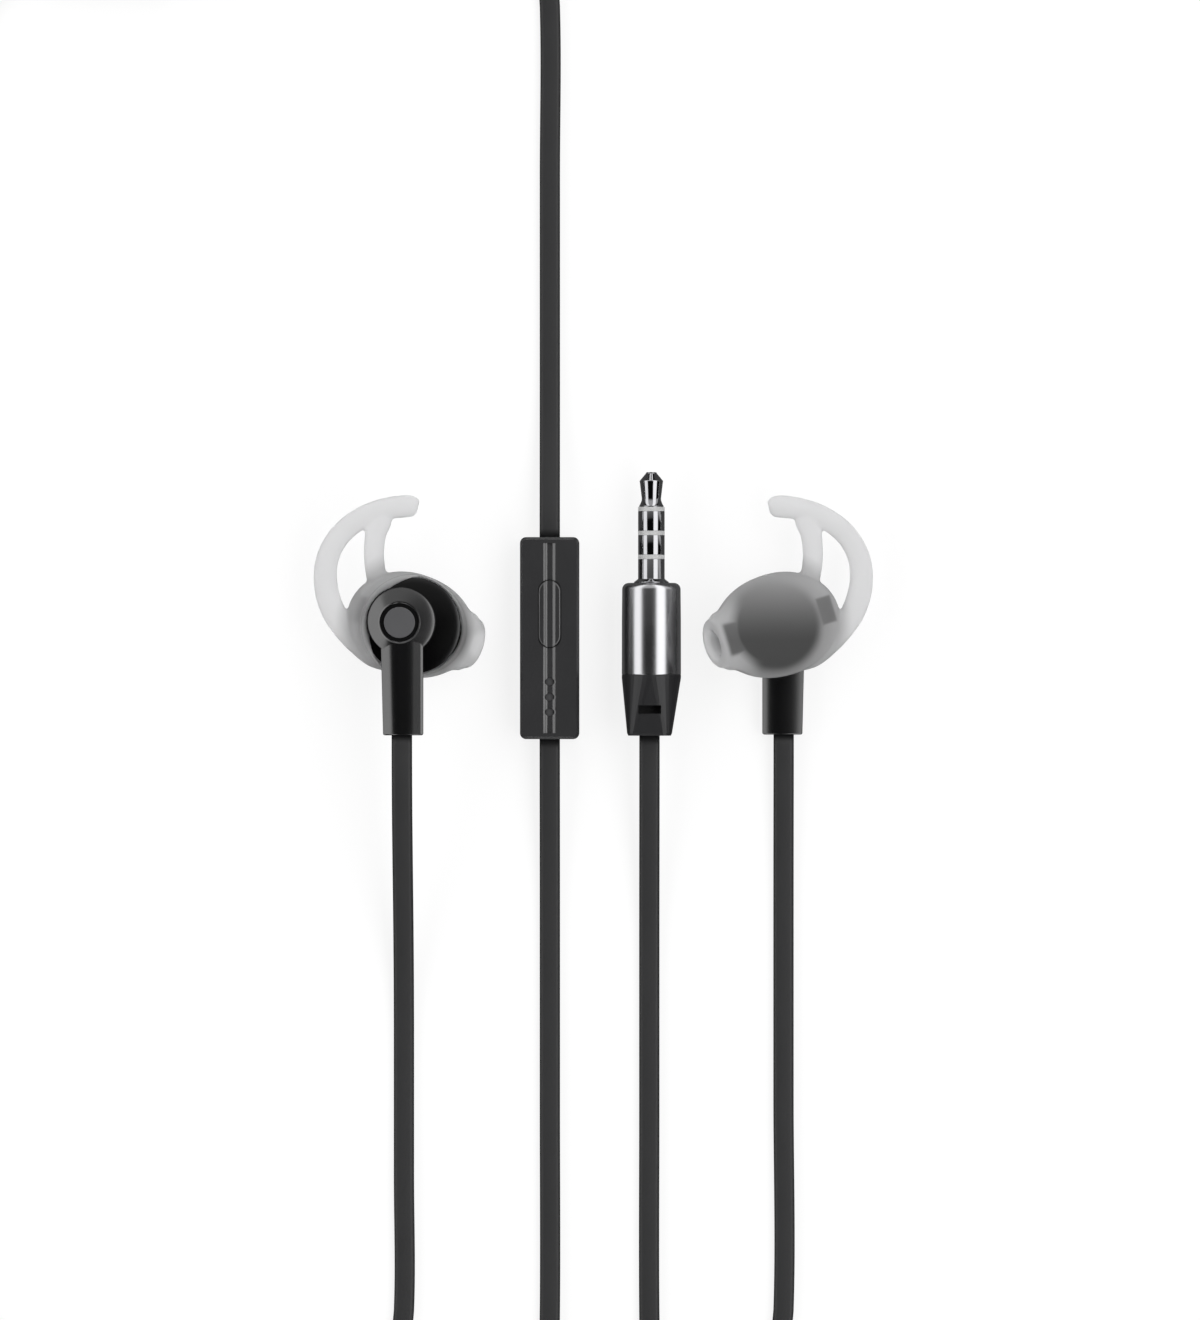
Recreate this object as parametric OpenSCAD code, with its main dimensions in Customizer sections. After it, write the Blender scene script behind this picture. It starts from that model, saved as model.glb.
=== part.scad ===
// Wired in-ear earphones with wing sleeves, an in-line remote and a four-pole plug.
// Everything lies on the plane z = 0. X runs across the pair, Y along the stems, Z up.
// The origin is on that plane, under the middle of the two ear pieces.

/* [Ear housing] */
// Distance between the two stems
bud_spacing = 50.2; // [46:0.2:60]
// Diameter of the round housing
shell_d = 12.6; // [11.8:0.1:13.6]
// Wall of the housing shells
shell_wall = 0.8; // [0.6:0.05:1.0]
// Height of the rear shell above the sleeve's seat
shell_rise = 1.7; // [1.4:0.1:2.0]
// Straight skirt of the rear shell below the sleeve's seat
shell_skirt = 2; // [1.8:0.1:2.6]
// Depth of the front dome below the sleeve's seat
dome_depth = 5.3; // [4.8:0.1:6]
// Angle of the sound nozzle below the housing's plane
nozzle_tilt = 33; // [25:1:40]
// Turn of the nozzle away from the X axis
nozzle_turn = 17; // [5:1:25]
// Length from the housing's middle to the nozzle's end
nozzle_reach = 7.4; // [7:0.1:8]
// Outer diameter of the nozzle
nozzle_d = 3.8; // [3.4:0.1:4.2]
// Wall of the nozzle
nozzle_wall = 0.5; // [0.35:0.05:0.7]
// Width of the key tab that locks the sleeve
tab_w = 3.2; // [2:0.1:4]
// How far the key tab stands out of the housing
tab_out = 1.6; // [1:0.1:1.8]

/* [Cap and stem] */
// Diameter of the round cap
cap_d = 8.5; // [7.8:0.1:9]
// Height of the cap's flat above the sleeve's seat
cap_top = 3.4; // [3.2:0.1:4]
// Width of the stem's rounded edges
cap_border = 1.45; // [1:0.05:1.5]
// Height of the rounded edges
cap_border_h = 1.1; // [0.7:0.05:1.2]
// Diameter of the badge disc
badge_d = 4.2; // [3:0.1:4.6]
// Groove round the badge
badge_groove = 0.3; // [0.1:0.05:0.4]
// Depth of the badge's pocket
badge_depth = 0.5; // [0.3:0.05:0.6]
// Width of the stem
stem_w = 5.4; // [5:0.1:6]
// Height of the stem's inner face above the sleeve's seat
stem_low = 0.6; // [0.55:0.05:0.9]
// Length from the cap's middle to the stem's end
stem_len = 15.1; // [13:0.1:18]

/* [Driver] */
// Diameter of the driver
driver_d = 10; // [8:0.1:10.4]
// Height of the driver's basket
driver_h = 1.6; // [1.2:0.1:1.8]
// Diameter of the magnet
magnet_d = 6.4; // [5:0.1:7]

/* [Ear sleeve] */
// Clearance between the housing and the silicone
sleeve_fit = 0.06; // [0.05:0.01:0.1]
// Silicone wall beside the housing
sleeve_side = 0.5; // [0.4:0.05:0.8]
// Silicone lobe behind the key tab
sleeve_heel = 2.55; // [2.1:0.05:2.8]
// Silicone under the dome
sleeve_under = 0.9; // [0.7:0.1:1.1]
// Height of the lip above its seat
lip_h = 0.45; // [0.3:0.05:0.5]
// Length from the nozzle's end to the face of the ear tip
tip_reach = 2.7; // [2.2:0.1:3.4]
// Width of the ear tip's oval mouth
mouth_w = 6.5; // [5.8:0.1:7.4]
// Height of the ear tip's oval mouth
mouth_h = 5.2; // [4.6:0.1:6]
// Width of the sound hole in the ear tip
hole_w = 3.3; // [2.6:0.1:3.8]
// Height of the sound hole in the ear tip
hole_h = 2.4; // [2:0.1:3]
// Thickness of the wing
wing_t = 2.2; // [1.6:0.1:2.6]

/* [Remote] */
// Width of the remote
remote_w = 7.8; // [7:0.1:9]
// Length of the remote
remote_l = 26.6; // [25:0.1:32]
// Thickness of the remote
remote_t = 5; // [4.6:0.1:6]
// Corner radius in plan
remote_corner = 0.8; // [0.5:0.1:1.5]
// Rounding of the edges
remote_round = 0.5; // [0.3:0.1:0.8]
// Wall of the remote's shells
remote_wall = 0.9; // [0.7:0.05:1.1]
// Width of the button
button_w = 2.9; // [2.4:0.1:3.2]
// Length of the button
button_l = 8.8; // [7:0.1:9.6]
// Clearance round the button
button_fit = 0.08; // [0.05:0.01:0.15]
// Travel of the button
button_travel = 0.3; // [0.2:0.05:0.35]
// Middle of the button, from the remote's middle
button_y = 3.2; // [2:0.1:4]
// Width of the channel along the remote
groove_w = 1.6; // [1.3:0.05:1.9]
// Depth of that channel
groove_depth = 0.3; // [0.2:0.05:0.35]
// Diameter of a microphone hole
mic_hole_d = 1.1; // [0.7:0.1:1.2]
// Distance between microphone holes
mic_pitch = 2; // [1.8:0.05:2.3]
// Middle of the microphone holes, from the remote's middle
mic_y = -7.75; // [-8:0.1:-6.5]

/* [Plug] */
// Diameter of the plug's shaft
jack_d = 3.5; // [3.4:0.01:3.52]
// Length of the shaft from the barrel to the tip
jack_l = 14.6; // [14:0.1:15]
// Diameter of the steel barrel
barrel_d = 7.8; // [7:0.1:9]
// Length of the steel barrel
barrel_l = 12.1; // [11:0.1:16]
// Wall of the steel barrel
barrel_wall = 0.5; // [0.4:0.05:0.8]
// Length of the strain relief
relief_l = 8; // [7:0.1:12]
// Width of the strain relief at the cord
relief_end_w = 5.9; // [5:0.1:6.5]
// Width of the slot in the strain relief
slot_w = 3; // [2.4:0.1:3.6]
// Height of the slot in the strain relief
slot_h = 1.1; // [0.8:0.1:1.3]

/* [Cord] */
// Width of the flat cord
cord_w = 2.7; // [2.4:0.1:2.9]
// Thickness of the flat cord
cord_t = 1.1; // [0.9:0.05:1.2]
// Width of the splitter
split_w = 6.2; // [5.8:0.1:7]
// Length of the splitter
split_l = 15; // [12:0.5:18]
// Thickness of the splitter
split_t = 3; // [2.6:0.1:3.6]

/* [Hidden] */

$fn = 64;
eps = 0.01;
black = [0.09, 0.09, 0.10];
dark = [0.16, 0.16, 0.17];
silicone = [0.86, 0.87, 0.88];
steel = [0.72, 0.73, 0.75];
brass = [0.80, 0.66, 0.35];
green = [0.10, 0.35, 0.20];

// ---------------------------------------------------------------- ear piece, in its own frame
// The stem's axis is x = 0, the sleeve's seat is z = 0 and the outer face looks along +Z.
shell_r = shell_d / 2;
shell_x = 1.35;
shell_y = -1.45;
cap_y = -0.7;
cap_r = cap_d / 2;
stem_end_y = cap_y - stem_len;
stem_mid_z = (stem_low + cap_top) / 2;
channel_w = cord_w + 0.3;
channel_h = cord_t + 0.3;
inner_r = shell_r - shell_wall;

// Heights of the two ear pieces: the left one lies on its ear tip, the right one on its cap.
nozzle_drop = 0.2;
mouth_s = nozzle_reach + tip_reach;
bud_depth = nozzle_drop + mouth_s * sin(nozzle_tilt) + mouth_h / 2 * cos(nozzle_tilt);

// Points in the plane of the nozzle: u runs from the heel to the ear tip, z is up.
function along(s) = [s * cos(nozzle_tilt), -nozzle_drop - s * sin(nozzle_tilt)];
function across(h) = [h * sin(nozzle_tilt), h * cos(nozzle_tilt)];
function bezier(a, b, c, d, t) =
  a * pow(1 - t, 3) + b * 3 * t * pow(1 - t, 2) + c * 3 * t * t * (1 - t) + d * pow(t, 3);
function ease(t) = t * t * (3 - 2 * t);

// One ring of a loft: an ellipse from the heel point to the toe point, of half width b.
ring_n = 32;
function ring(heel, toe, b) =
  let (mid = (heel + toe) / 2, half = (toe - heel) / 2)
  [for (i = [0:ring_n - 1]) let (c = cos(i * 360 / ring_n), s = sin(i * 360 / ring_n))
    [mid[0] + half[0] * c, b * s, mid[1] + half[1] * c]];

// Solid through a list of rings that have the same number of points, closed flat at both ends.
module loft(rings) {
  n = len(rings);
  m = len(rings[0]);
  polyhedron(
    points = [for (r = rings) for (p = r) p],
    faces = concat(
      [for (i = [0:n - 2]) for (j = [0:m - 1]) for (half = [0, 1])
        let (a = i * m + j, b = i * m + (j + 1) % m, c = b + m, d = a + m)
        half == 0 ? [a, b, c] : [a, c, d]],
      [for (j = [1:m - 2]) [0, j + 1, j]],
      [for (j = [1:m - 2]) [(n - 1) * m, (n - 1) * m + j, (n - 1) * m + j + 1]]));
}

// Rings of the front shell from the skirt to the nozzle's end, grown by g.
dome_steps = 6;
function dome_ring(t, g) =
  let (r = shell_r + g,
       rn = nozzle_d / 2 + g,
       tip = along(nozzle_reach),
       heel = bezier([-r, -shell_skirt], [-r * 0.98, -dome_depth * 0.86 - g],
                     tip - across(rn) - [5, -0.55], tip - across(rn), t),
       toe = bezier([r, -shell_skirt + 0.4], [r, -shell_skirt + 0.15],
                    tip + across(rn) - [0.6, -0.35], tip + across(rn), t))
  ring(heel, toe, r + (rn - r) * ease(t));
function dome_rings(g, first) =
  [for (k = [first:dome_steps]) dome_ring(k / dome_steps, g)];

function flat_ring(r, z) = ring([-r, z], [r, z], r);

module at_shell() { translate([shell_x, shell_y, 0]) children(); }
module at_nozzle() { at_shell() rotate([0, 0, -nozzle_turn]) children(); }

// Outer form of the rear shell, as a solid of revolution.
module rear_form(grow) {
  r = shell_r + grow;
  top = shell_rise + grow;
  shoulder = 1.3;
  rotate_extrude()
    polygon(concat([[0, -shell_skirt], [r, -shell_skirt], [r, 0.5]],
      [for (a = [0:15:90]) [r - shoulder + shoulder * cos(a), 0.5 + (top - 0.5) * sin(a)]],
      [[0, top]]));
}

module rear_shell() {
  color(black) difference() {
    at_shell() union() {
      rear_form(0);
      rotate([0, 0, -nozzle_turn])
        translate([-shell_r - tab_out, -tab_w / 2, -shell_skirt + 0.3])
          cube([tab_out + shell_wall / 2, tab_w, shell_skirt - 0.8]);
    }
    at_shell() translate([0, 0, -shell_skirt - 1])
      cylinder(r = inner_r, h = shell_skirt + shell_rise - shell_wall + 1);
    translate([0, cap_y, 0]) cylinder(d = wire_hole_d, h = 5);
  }
}

module front_shell() {
  color(dark) at_nozzle() difference() {
    loft(concat([flat_ring(shell_r, -shell_skirt)], dome_rings(0, 1)));
    loft(concat(
      [flat_ring(inner_r, -shell_skirt + 0.5)],
      [for (k = [1:dome_steps - 1]) dome_ring_inside(k / dome_steps)],
      [tip_ring(nozzle_reach + 0.5, nozzle_d - 2 * nozzle_wall, nozzle_d - 2 * nozzle_wall)]));
  }
}
// Inside of the front shell: the wall narrows from the shell's to the nozzle's.
function dome_ring_inside(t) = dome_ring(t, -shell_wall + (shell_wall - nozzle_wall) * ease(t));

// Section of the keyhole cap's edge: how far in from the edge, and how far below the flat.
border_steps = 4;
border = [for (p = [[0, 1], [0.05, 0.8], [0.18, 0.64], [0.88, 0.05], [1, 0]])
  [cap_border * p[0], cap_border_h * p[1]]];

// The round head leans from its foot to a smaller raised rim round the badge.
badge_x = -0.45;
badge_y = -0.85;
rim_r = badge_d / 2 + badge_groove + 0.2;
module disc(p, r, z) { translate([p[0], p[1], z]) cylinder(r = r, h = eps, $fn = 48); }
module head(low) {
  foot = [0.05, cap_y];
  top = [badge_x, badge_y];
  translate([foot[0], foot[1], low]) cylinder(r = cap_r, h = cap_top - cap_border_h - low);
  hull() {
    disc(foot, cap_r, cap_top - cap_border_h - eps);
    disc(foot, cap_r - 0.3, cap_top - cap_border_h + 0.35);
    disc(top, rim_r + 0.25, cap_top - 0.15);
    disc(top, rim_r, cap_top - eps);
  }
}
// The stem's section, drawn out from the cap's middle to the stem's end.
module stem_prism(low, high, rounded_top) {
  half = stem_w / 2;
  edge = [for (p = border) [half - p[0], rounded_top ? high - p[1] : low + p[1]]];
  turned = [for (k = [border_steps:-1:0]) edge[k]];
  right = rounded_top ? concat([[half, low]], edge) : concat(turned, [[half, high]]);
  left = [for (k = [len(right) - 1:-1:0]) [-right[k][0], right[k][1]]];
  translate([0, cap_y, 0]) rotate([90, 0, 0]) linear_extrude(stem_len)
    polygon(concat(right, left));
}
stem_split_z = stem_mid_z;

module cap() {
  color(black) difference() {
    union() {
      head(stem_split_z - 1.2);
      intersection() {
        stem_prism(stem_split_z, cap_top, true);
        stem_end_trim();
      }
    }
    at_shell() rear_form(0);
    translate([badge_x, badge_y, cap_top - badge_depth]) cylinder(d = badge_d + 2 * badge_groove, h = 2);
    cord_channel();
    translate([0, cap_y, 0]) cylinder(d = wire_hole_d, h = stem_mid_z + channel_h / 2);
  }
}

module stem_back() {
  color(black) difference() {
    intersection() {
      stem_prism(stem_low, stem_split_z, false);
      stem_end_trim();
    }
    translate([0.05, cap_y, 0]) cylinder(r = cap_r, h = 2 * cap_top, center = true);
    at_shell() rear_form(0);
    cord_channel();
  }
}
// The stem's end has a small rounding in plan and in height.
end_round = 0.4;
module stem_end_trim() {
  y0 = stem_end_y;
  union() {
    translate([-2 * cap_r, y0 + end_round, -5]) cube([4 * cap_r, stem_len + 2 * cap_r, 20]);
    hull() for (x = [-1, 1]) for (z = [0, 1])
      translate([x * (stem_w / 2 - end_round), y0 + end_round,
                 z == 0 ? stem_low + end_round : cap_top - end_round])
        sphere(r = end_round, $fn = 16);
  }
}
// Flat passage for the cord's wires inside the stem.
module cord_channel() {
  translate([-channel_w / 2, stem_end_y - 1, stem_mid_z - channel_h / 2])
    cube([channel_w, stem_len + 1, channel_h]);
}
wire_hole_d = 1.8;

module badge() {
  lift = 0.02;
  color([0.35, 0.35, 0.37]) translate([badge_x, badge_y, cap_top - badge_depth + lift])
    rotate_extrude() polygon([[0, 0], [badge_d / 2, 0], [badge_d / 2, badge_depth - lift - 0.12],
      [badge_d / 2 - 0.12, badge_depth - lift], [0, badge_depth - lift]]);
}

// Driver: basket under the rear shell, magnet in its middle, diaphragm and voice coil below.
basket_top = -shell_skirt + driver_h;
basket_r = min(driver_d / 2, inner_r - 0.1);
magnet_r = magnet_d / 2;
coil_gap = 0.15;
coil_t = 0.25;
module driver_basket() {
  color([0.45, 0.45, 0.47]) at_shell() difference() {
    union() {
      translate([0, 0, -shell_skirt]) cylinder(r = basket_r, h = driver_h);
      translate([0, 0, basket_top]) cylinder(r = magnet_r + 0.9, h = 0.5);
      translate([0, 0, -shell_skirt]) cylinder(r = inner_r - 0.1, h = 0.5);
    }
    translate([0, 0, -shell_skirt - 1]) cylinder(r = magnet_r + coil_t + 2 * coil_gap, h = driver_h + 3);
    translate([0, 0, -shell_skirt - 1]) cylinder(r = basket_r - 0.6, h = driver_h + 0.6);
  }
}
module driver_magnet() {
  color(steel) at_shell() difference() {
    union() {
      translate([0, 0, -shell_skirt + 0.5]) cylinder(r = magnet_r, h = driver_h + 0.3);
      translate([0, 0, basket_top + 0.5]) cylinder(r = magnet_r + 0.8, h = 0.3);
    }
    translate([0, 0, -shell_skirt]) cylinder(r = 0.7, h = driver_h + 3);
  }
}
module diaphragm() {
  rim = basket_r - 0.2;
  color([0.75, 0.78, 0.80]) at_shell() translate([0, 0, -shell_skirt - 0.25])
    rotate_extrude() polygon([[0, -0.5], [magnet_r * 0.6, -0.35], [magnet_r, 0], [rim, 0], [rim, 0.2],
      [magnet_r, 0.2], [magnet_r * 0.6, -0.15], [0, -0.3]]);
}
module voice_coil() {
  color(brass) at_shell() translate([0, 0, -shell_skirt]) difference() {
    cylinder(r = magnet_r + coil_gap + coil_t, h = driver_h);
    translate([0, 0, -1]) cylinder(r = magnet_r + coil_gap, h = driver_h + 2);
  }
}
module nozzle_mesh() {
  mesh_t = 0.2;
  color(steel) at_nozzle() translate([cos(nozzle_tilt) * (nozzle_reach - mesh_t),
      0, -nozzle_drop - sin(nozzle_tilt) * (nozzle_reach - mesh_t)])
    rotate([0, 90 + nozzle_tilt, 0])
      cylinder(r = (nozzle_d / 2 - nozzle_wall) * 0.97, h = mesh_t);
}
wire_d = 0.5;
module wires() {
  color(brass) for (x = [-0.45, 0.45]) translate([x, 0, 0]) {
    translate([0, cap_y, stem_mid_z]) rotate([90, 0, 0]) cylinder(d = wire_d, h = stem_len - gland_l);
    translate([0, cap_y, basket_top + 0.85]) cylinder(d = wire_d, h = stem_mid_z - basket_top - 0.85);
    translate([0, cap_y, stem_mid_z]) sphere(d = wire_d);
  }
}
gland_l = 3;
module cord_gland() {
  color(dark) translate([-channel_w / 2 + 0.02, stem_end_y, stem_mid_z - channel_h / 2 + 0.02])
    cube([channel_w - 0.04, gland_l, channel_h - 0.04]);
}

// ---------------------------------------------------------------- ear sleeve
// Outside of the sleeve: a rolled lip, the heel lobe, the body and the waisted ear tip.
function tip_ring(s, w, h) = ring(along(s) - across(h / 2), along(s) + across(h / 2), w / 2);
sleeve_steps = 8;
neck_swell = 0.7;
function sleeve_ring(t) =
  let (heel_u = -shell_r - sleeve_heel,
       toe_u = shell_r + sleeve_side + 0.4,
       b = shell_r + sleeve_side,
       neck = along(mouth_s - 1.5),
       nh = mouth_h / 2 - 0.15,
       nb = mouth_w / 2 + neck_swell,
       heel = bezier([heel_u, -1.4], [heel_u + 0.3, -dome_depth - sleeve_under * 0.6],
                     neck - across(nh) - [4.6, -0.1], neck - across(nh), t),
       toe = bezier([toe_u, -1.2], [toe_u + 0.15, -2.2], neck + across(nh) - [0.7, -0.3],
                    neck + across(nh), t))
  ring(heel, toe, b + (nb - b) * pow(ease(t), 2.2));
function sleeve_outside() = concat(
  [ring([-shell_r - sleeve_heel + 0.9, lip_h], [shell_r + 0.6, lip_h],
     shell_r + sleeve_side - 0.25),
   ring([-shell_r - sleeve_heel + 0.2, -0.3], [shell_r + sleeve_side + 0.3, -0.3],
     shell_r + sleeve_side - 0.05)],
  [for (k = [0:sleeve_steps]) sleeve_ring(k / sleeve_steps)],
  [tip_ring(mouth_s - 0.9, mouth_w + 0.4, mouth_h + 0.1),
   tip_ring(mouth_s - 0.35, mouth_w + 0.1, mouth_h),
   tip_ring(mouth_s, mouth_w - 0.9, mouth_h - 0.9)]);
// Inside of the sleeve: the housing's form with a clearance, then the sound hole.
function sleeve_inside() = concat(
  [flat_ring(shell_r + sleeve_fit, lip_h + 1),
   flat_ring(shell_r + sleeve_fit, -shell_skirt - sleeve_fit)],
  dome_rings(sleeve_fit, 1),
  [tip_ring(nozzle_reach + 0.1, nozzle_d + 2 * sleeve_fit, nozzle_d + 2 * sleeve_fit),
   tip_ring(nozzle_reach + 0.15, hole_w, hole_h),
   tip_ring(mouth_s - 0.5, hole_w, hole_h),
   tip_ring(mouth_s + 0.3, hole_w + 1.2, hole_h + 1.2)]);

// Wing: an arc from the body's lower heel round to a free blunt end, and a strut across.
// Each stop is x, y, width and thickness; the curve through the stops is smooth.
wing_z = -1.1;
arc_stops = [
  [-2.2, -6.75, 1.4, 1.6], [-3.9, -5.7, 2.4, 2.1], [-5.6, -4, 3, 2.2], [-7.4, -2, 3.2, 2.2],
  [-8.95, 0.2, 3.2, 2.2], [-9.85, 2.6, 3.2, 2.2], [-10.15, 5, 3.1, 2.2], [-9.9, 7.2, 3, 2.2],
  [-9.05, 9.25, 2.9, 2.2], [-7.65, 11.05, 2.9, 2.2], [-5.8, 12.45, 2.9, 2.2], [-3.9, 13.4, 2.9, 2.2],
  [-1.8, 14, 2.9, 2.2], [0.4, 14.3, 2.9, 2.2], [1.5, 14.3, 2.4, 1.8], [2, 14.3, 1.5, 1]];
strut_stops = [
  [-3.1, 3.5, 3, 1.9], [-3.3, 4.6, 2.8, 1.9], [-3.6, 6, 2.7, 1.9], [-3.75, 7.6, 2.7, 1.9],
  [-3.7, 9.3, 2.75, 1.9], [-3.5, 10.8, 2.9, 1.9], [-3.2, 12, 3.4, 1.9], [-3.1, 13, 3.6, 1.9]];
function stop_at(list, i) = list[min(max(i, 0), len(list) - 1)];
// Smooth curve through the stops: q counts stops.
function through(list, q) =
  let (i = min(floor(q), len(list) - 2), t = q - i,
       a = stop_at(list, i - 1), b = stop_at(list, i), c = stop_at(list, i + 1), d = stop_at(list, i + 2))
  0.5 * (2 * b + (c - a) * t + (2 * a - 5 * b + 4 * c - d) * t * t + (3 * b - a - 3 * c + d) * t * t * t);
module wing_bead(p, turn) {
  translate([p[0], p[1], wing_z]) rotate([0, 0, turn]) rotate([90, 0, 0])
    linear_extrude(0.05, center = true) scale([p[2] / p[3], 1]) circle(d = p[3] * wing_t / 2.2, $fn = 14);
}
module wing_run(list, parts) {
  last = len(list) - 1;
  for (k = [0:parts * last - 1]) hull() for (e = [0, 1]) {
    q = (k + e) / parts;
    way = through(list, min(q + 0.2, last)) - through(list, max(q - 0.2, 0));
    wing_bead(through(list, q), atan2(way[1], way[0]) - 90);
  }
}

// Thin flap of the lip that lies on the rear shell's shoulder on the heel side.
flap_t = 0.4;
module sleeve_flap() {
  difference() {
    at_shell() intersection() {
      rear_form(flap_t);
      translate([-20, -20, lip_h - 0.3]) cube([40, 40, 3]);
    }
    at_shell() rear_form(sleeve_fit);
    translate([shell_x + 0.7, shell_y - 0.35, -1]) cylinder(r = shell_r - 0.1, h = 9);
    translate([-0.05, cap_y, -1]) cylinder(r = cap_r + 0.15, h = 9);
    translate([-2, -20, -1]) cube([20, 40, 9]);
    translate([-stem_w / 2 - 0.1, -20, -1]) cube([stem_w + 0.2, 20, 9]);
  }
}

module ear_sleeve() {
  color(silicone, 0.6) union() {
    difference() {
      union() {
        at_nozzle() loft(sleeve_outside());
        wing_run(arc_stops, 1);
        wing_run(strut_stops, 1);
      }
      at_nozzle() loft(sleeve_inside());
      at_nozzle() translate([-shell_r - tab_out - 0.1, -tab_w / 2 - 0.1, -shell_skirt + 0.2])
        cube([tab_out + 1, tab_w + 0.2, shell_skirt - 0.6]);
    }
    sleeve_flap();
  }
}

// ---------------------------------------------------------------- placing the two ear pieces
module place(side) {
  if (side == "left") translate([-bud_spacing / 2, 0, bud_depth]) children();
  else translate([bud_spacing / 2, 0, cap_top]) rotate([0, 180, 0]) children();
}

// ---------------------------------------------------------------- remote
remote_x = -5.8;
remote_y = -3.07;
remote_mid_z = remote_t / 2;
module at_remote() { translate([remote_x, remote_y, 0]) children(); }

module round_rect(w, l, r) {
  square([w - 2 * r, l], center = true);
  square([w, l - 2 * r], center = true);
  for (x = [-1, 1]) for (y = [-1, 1]) translate([x * (w / 2 - r), y * (l / 2 - r)]) circle(r = r);
}
// A slab rounded in plan, along its sides and at its ends.
module slab(w, l, t, corner, round) {
  intersection() {
    linear_extrude(t) round_rect(w, l, corner);
    translate([0, l / 2 + 1, t / 2]) rotate([90, 0, 0]) linear_extrude(l + 2) round_rect(w, t, round);
    translate([-w / 2 - 1, 0, t / 2]) rotate([90, 0, 90]) linear_extrude(w + 2) round_rect(l, t, round);
  }
}
module pill(w, l, h) {
  translate([0, (l - w) / 2, 0]) cylinder(d = w, h = h);
  translate([0, -(l - w) / 2, 0]) cylinder(d = w, h = h);
  translate([-w / 2, -(l - w) / 2, 0]) cube([w, l - w, h]);
}
// Channel with a flat floor and sloped sides, its upper edges at z = 0, running along Y.
module channel(l) {
  floor_w = 0.55;
  translate([0, l / 2, 0]) rotate([90, 0, 0]) linear_extrude(l)
    polygon([[-floor_w / 2, -groove_depth], [floor_w / 2, -groove_depth], [groove_w / 2, 0],
      [groove_w / 2, 1], [-groove_w / 2, 1], [-groove_w / 2, 0]]);
}
// Blocks that hold the cord in the ends of the remote; grown by g they are their own seats.
module gland_blocks(g) {
  for (y = [-1, 1]) translate([0, y * (remote_l / 2 - gland_in / 2), remote_mid_z])
    cube([cord_w + 0.6 + 2 * g, gland_in + (g > 0 ? 0.2 : 0), cord_t + 0.6 + 2 * g], center = true);
}
gland_in = 1.3;
remote_in_w = remote_w - 2 * remote_wall;
remote_in_l = remote_l - 2 * remote_wall - 1;
flange_t = 0.4;
flange_out = 0.4;
mic_d = 4;
gasket_t = 0.4;
module remote_upper_shell() {
  color(dark) at_remote() difference() {
    intersection() {
      slab(remote_w, remote_l, remote_t, remote_corner, remote_round);
      translate([-remote_w, -remote_l, remote_mid_z]) cube([2 * remote_w, 2 * remote_l, remote_t]);
    }
    translate([-remote_in_w / 2, -remote_in_l / 2, remote_mid_z - 1])
      cube([remote_in_w, remote_in_l, remote_t / 2 - remote_wall + 1]);
    translate([0, 0, remote_t]) channel(remote_l - 1.6);
    translate([0, button_y, 0]) pill(button_w + 2 * button_fit, button_l + 2 * button_fit, remote_t + 1);
    for (k = [-1:1]) translate([0, mic_y + k * mic_pitch, 0]) cylinder(d = mic_hole_d, h = remote_t + 1);
    gland_blocks(0.02);
  }
}
module remote_lower_shell() {
  color(dark) at_remote() difference() {
    intersection() {
      slab(remote_w, remote_l, remote_t, remote_corner, remote_round);
      translate([-remote_w, -remote_l, 0]) cube([2 * remote_w, 2 * remote_l, remote_mid_z]);
    }
    translate([-remote_in_w / 2, -remote_in_l / 2, remote_wall])
      cube([remote_in_w, remote_in_l, remote_t]);
    gland_blocks(0.02);
  }
}
button_top = remote_t + 0.15;
flange_z = remote_t - remote_wall - flange_t - 0.05;
board_t = 0.6;
board_z = remote_wall;
switch_h = 1;
module remote_button() {
  color(dark) at_remote() difference() {
    union() {
      translate([0, button_y, flange_z]) pill(button_w, button_l, button_top - flange_z);
      translate([0, button_y, flange_z])
        pill(button_w + 2 * flange_out, button_l + 2 * flange_out, flange_t);
      translate([0, button_y, board_z + board_t + switch_h + button_travel + 0.05])
        cylinder(d = 1.6, h = flange_z - board_z - board_t - switch_h - button_travel - 0.05 + eps);
    }
    translate([0, 0, button_top]) channel(2 * remote_l);
  }
}
module remote_glands() {
  color(black) at_remote() gland_blocks(0);
}
module remote_board() {
  color(green) at_remote() translate([0, 0, board_z + board_t / 2])
    cube([remote_in_w - 0.3, remote_in_l - 0.4, board_t], center = true);
}
module remote_switch() {
  color(steel) at_remote() translate([0, button_y, board_z + board_t]) union() {
    cylinder(d = 3.6, h = 0.5);
    cylinder(d1 = 2.6, d2 = 1.6, h = switch_h);
  }
}
module remote_microphone() {
  color(steel) at_remote() translate([0, mic_y, board_z + board_t])
    cylinder(d = mic_d, h = remote_t - remote_wall - gasket_t - board_z - board_t);
}
module remote_gasket() {
  color(black) at_remote() translate([0, mic_y, remote_t - remote_wall - gasket_t]) difference() {
    pill(mic_d, mic_d + 1.8, gasket_t);
    for (k = [-1:1]) translate([0, k * mic_pitch, -1]) cylinder(d = 0.6, h = gasket_t + 2);
  }
}

// ---------------------------------------------------------------- plug
// Turned parts along +Y, drawn upright and laid down; the barrel rests on z = 0.
plug_x = 7.6;
plug_y = 4.2;
plug_z = barrel_d / 2;
jack_r = jack_d / 2;
module at_plug() { translate([plug_x, plug_y, plug_z]) rotate([-90, 0, 0]) children(); }
band = 0.55;
collar_h = 0.5;
contact = 2.6;
ground_end = jack_l - 4.6 - 3 * band - 2 * contact;
core_r = 0.55;
liner_r = 0.9;
tip_base = jack_l - 4.6;
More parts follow.
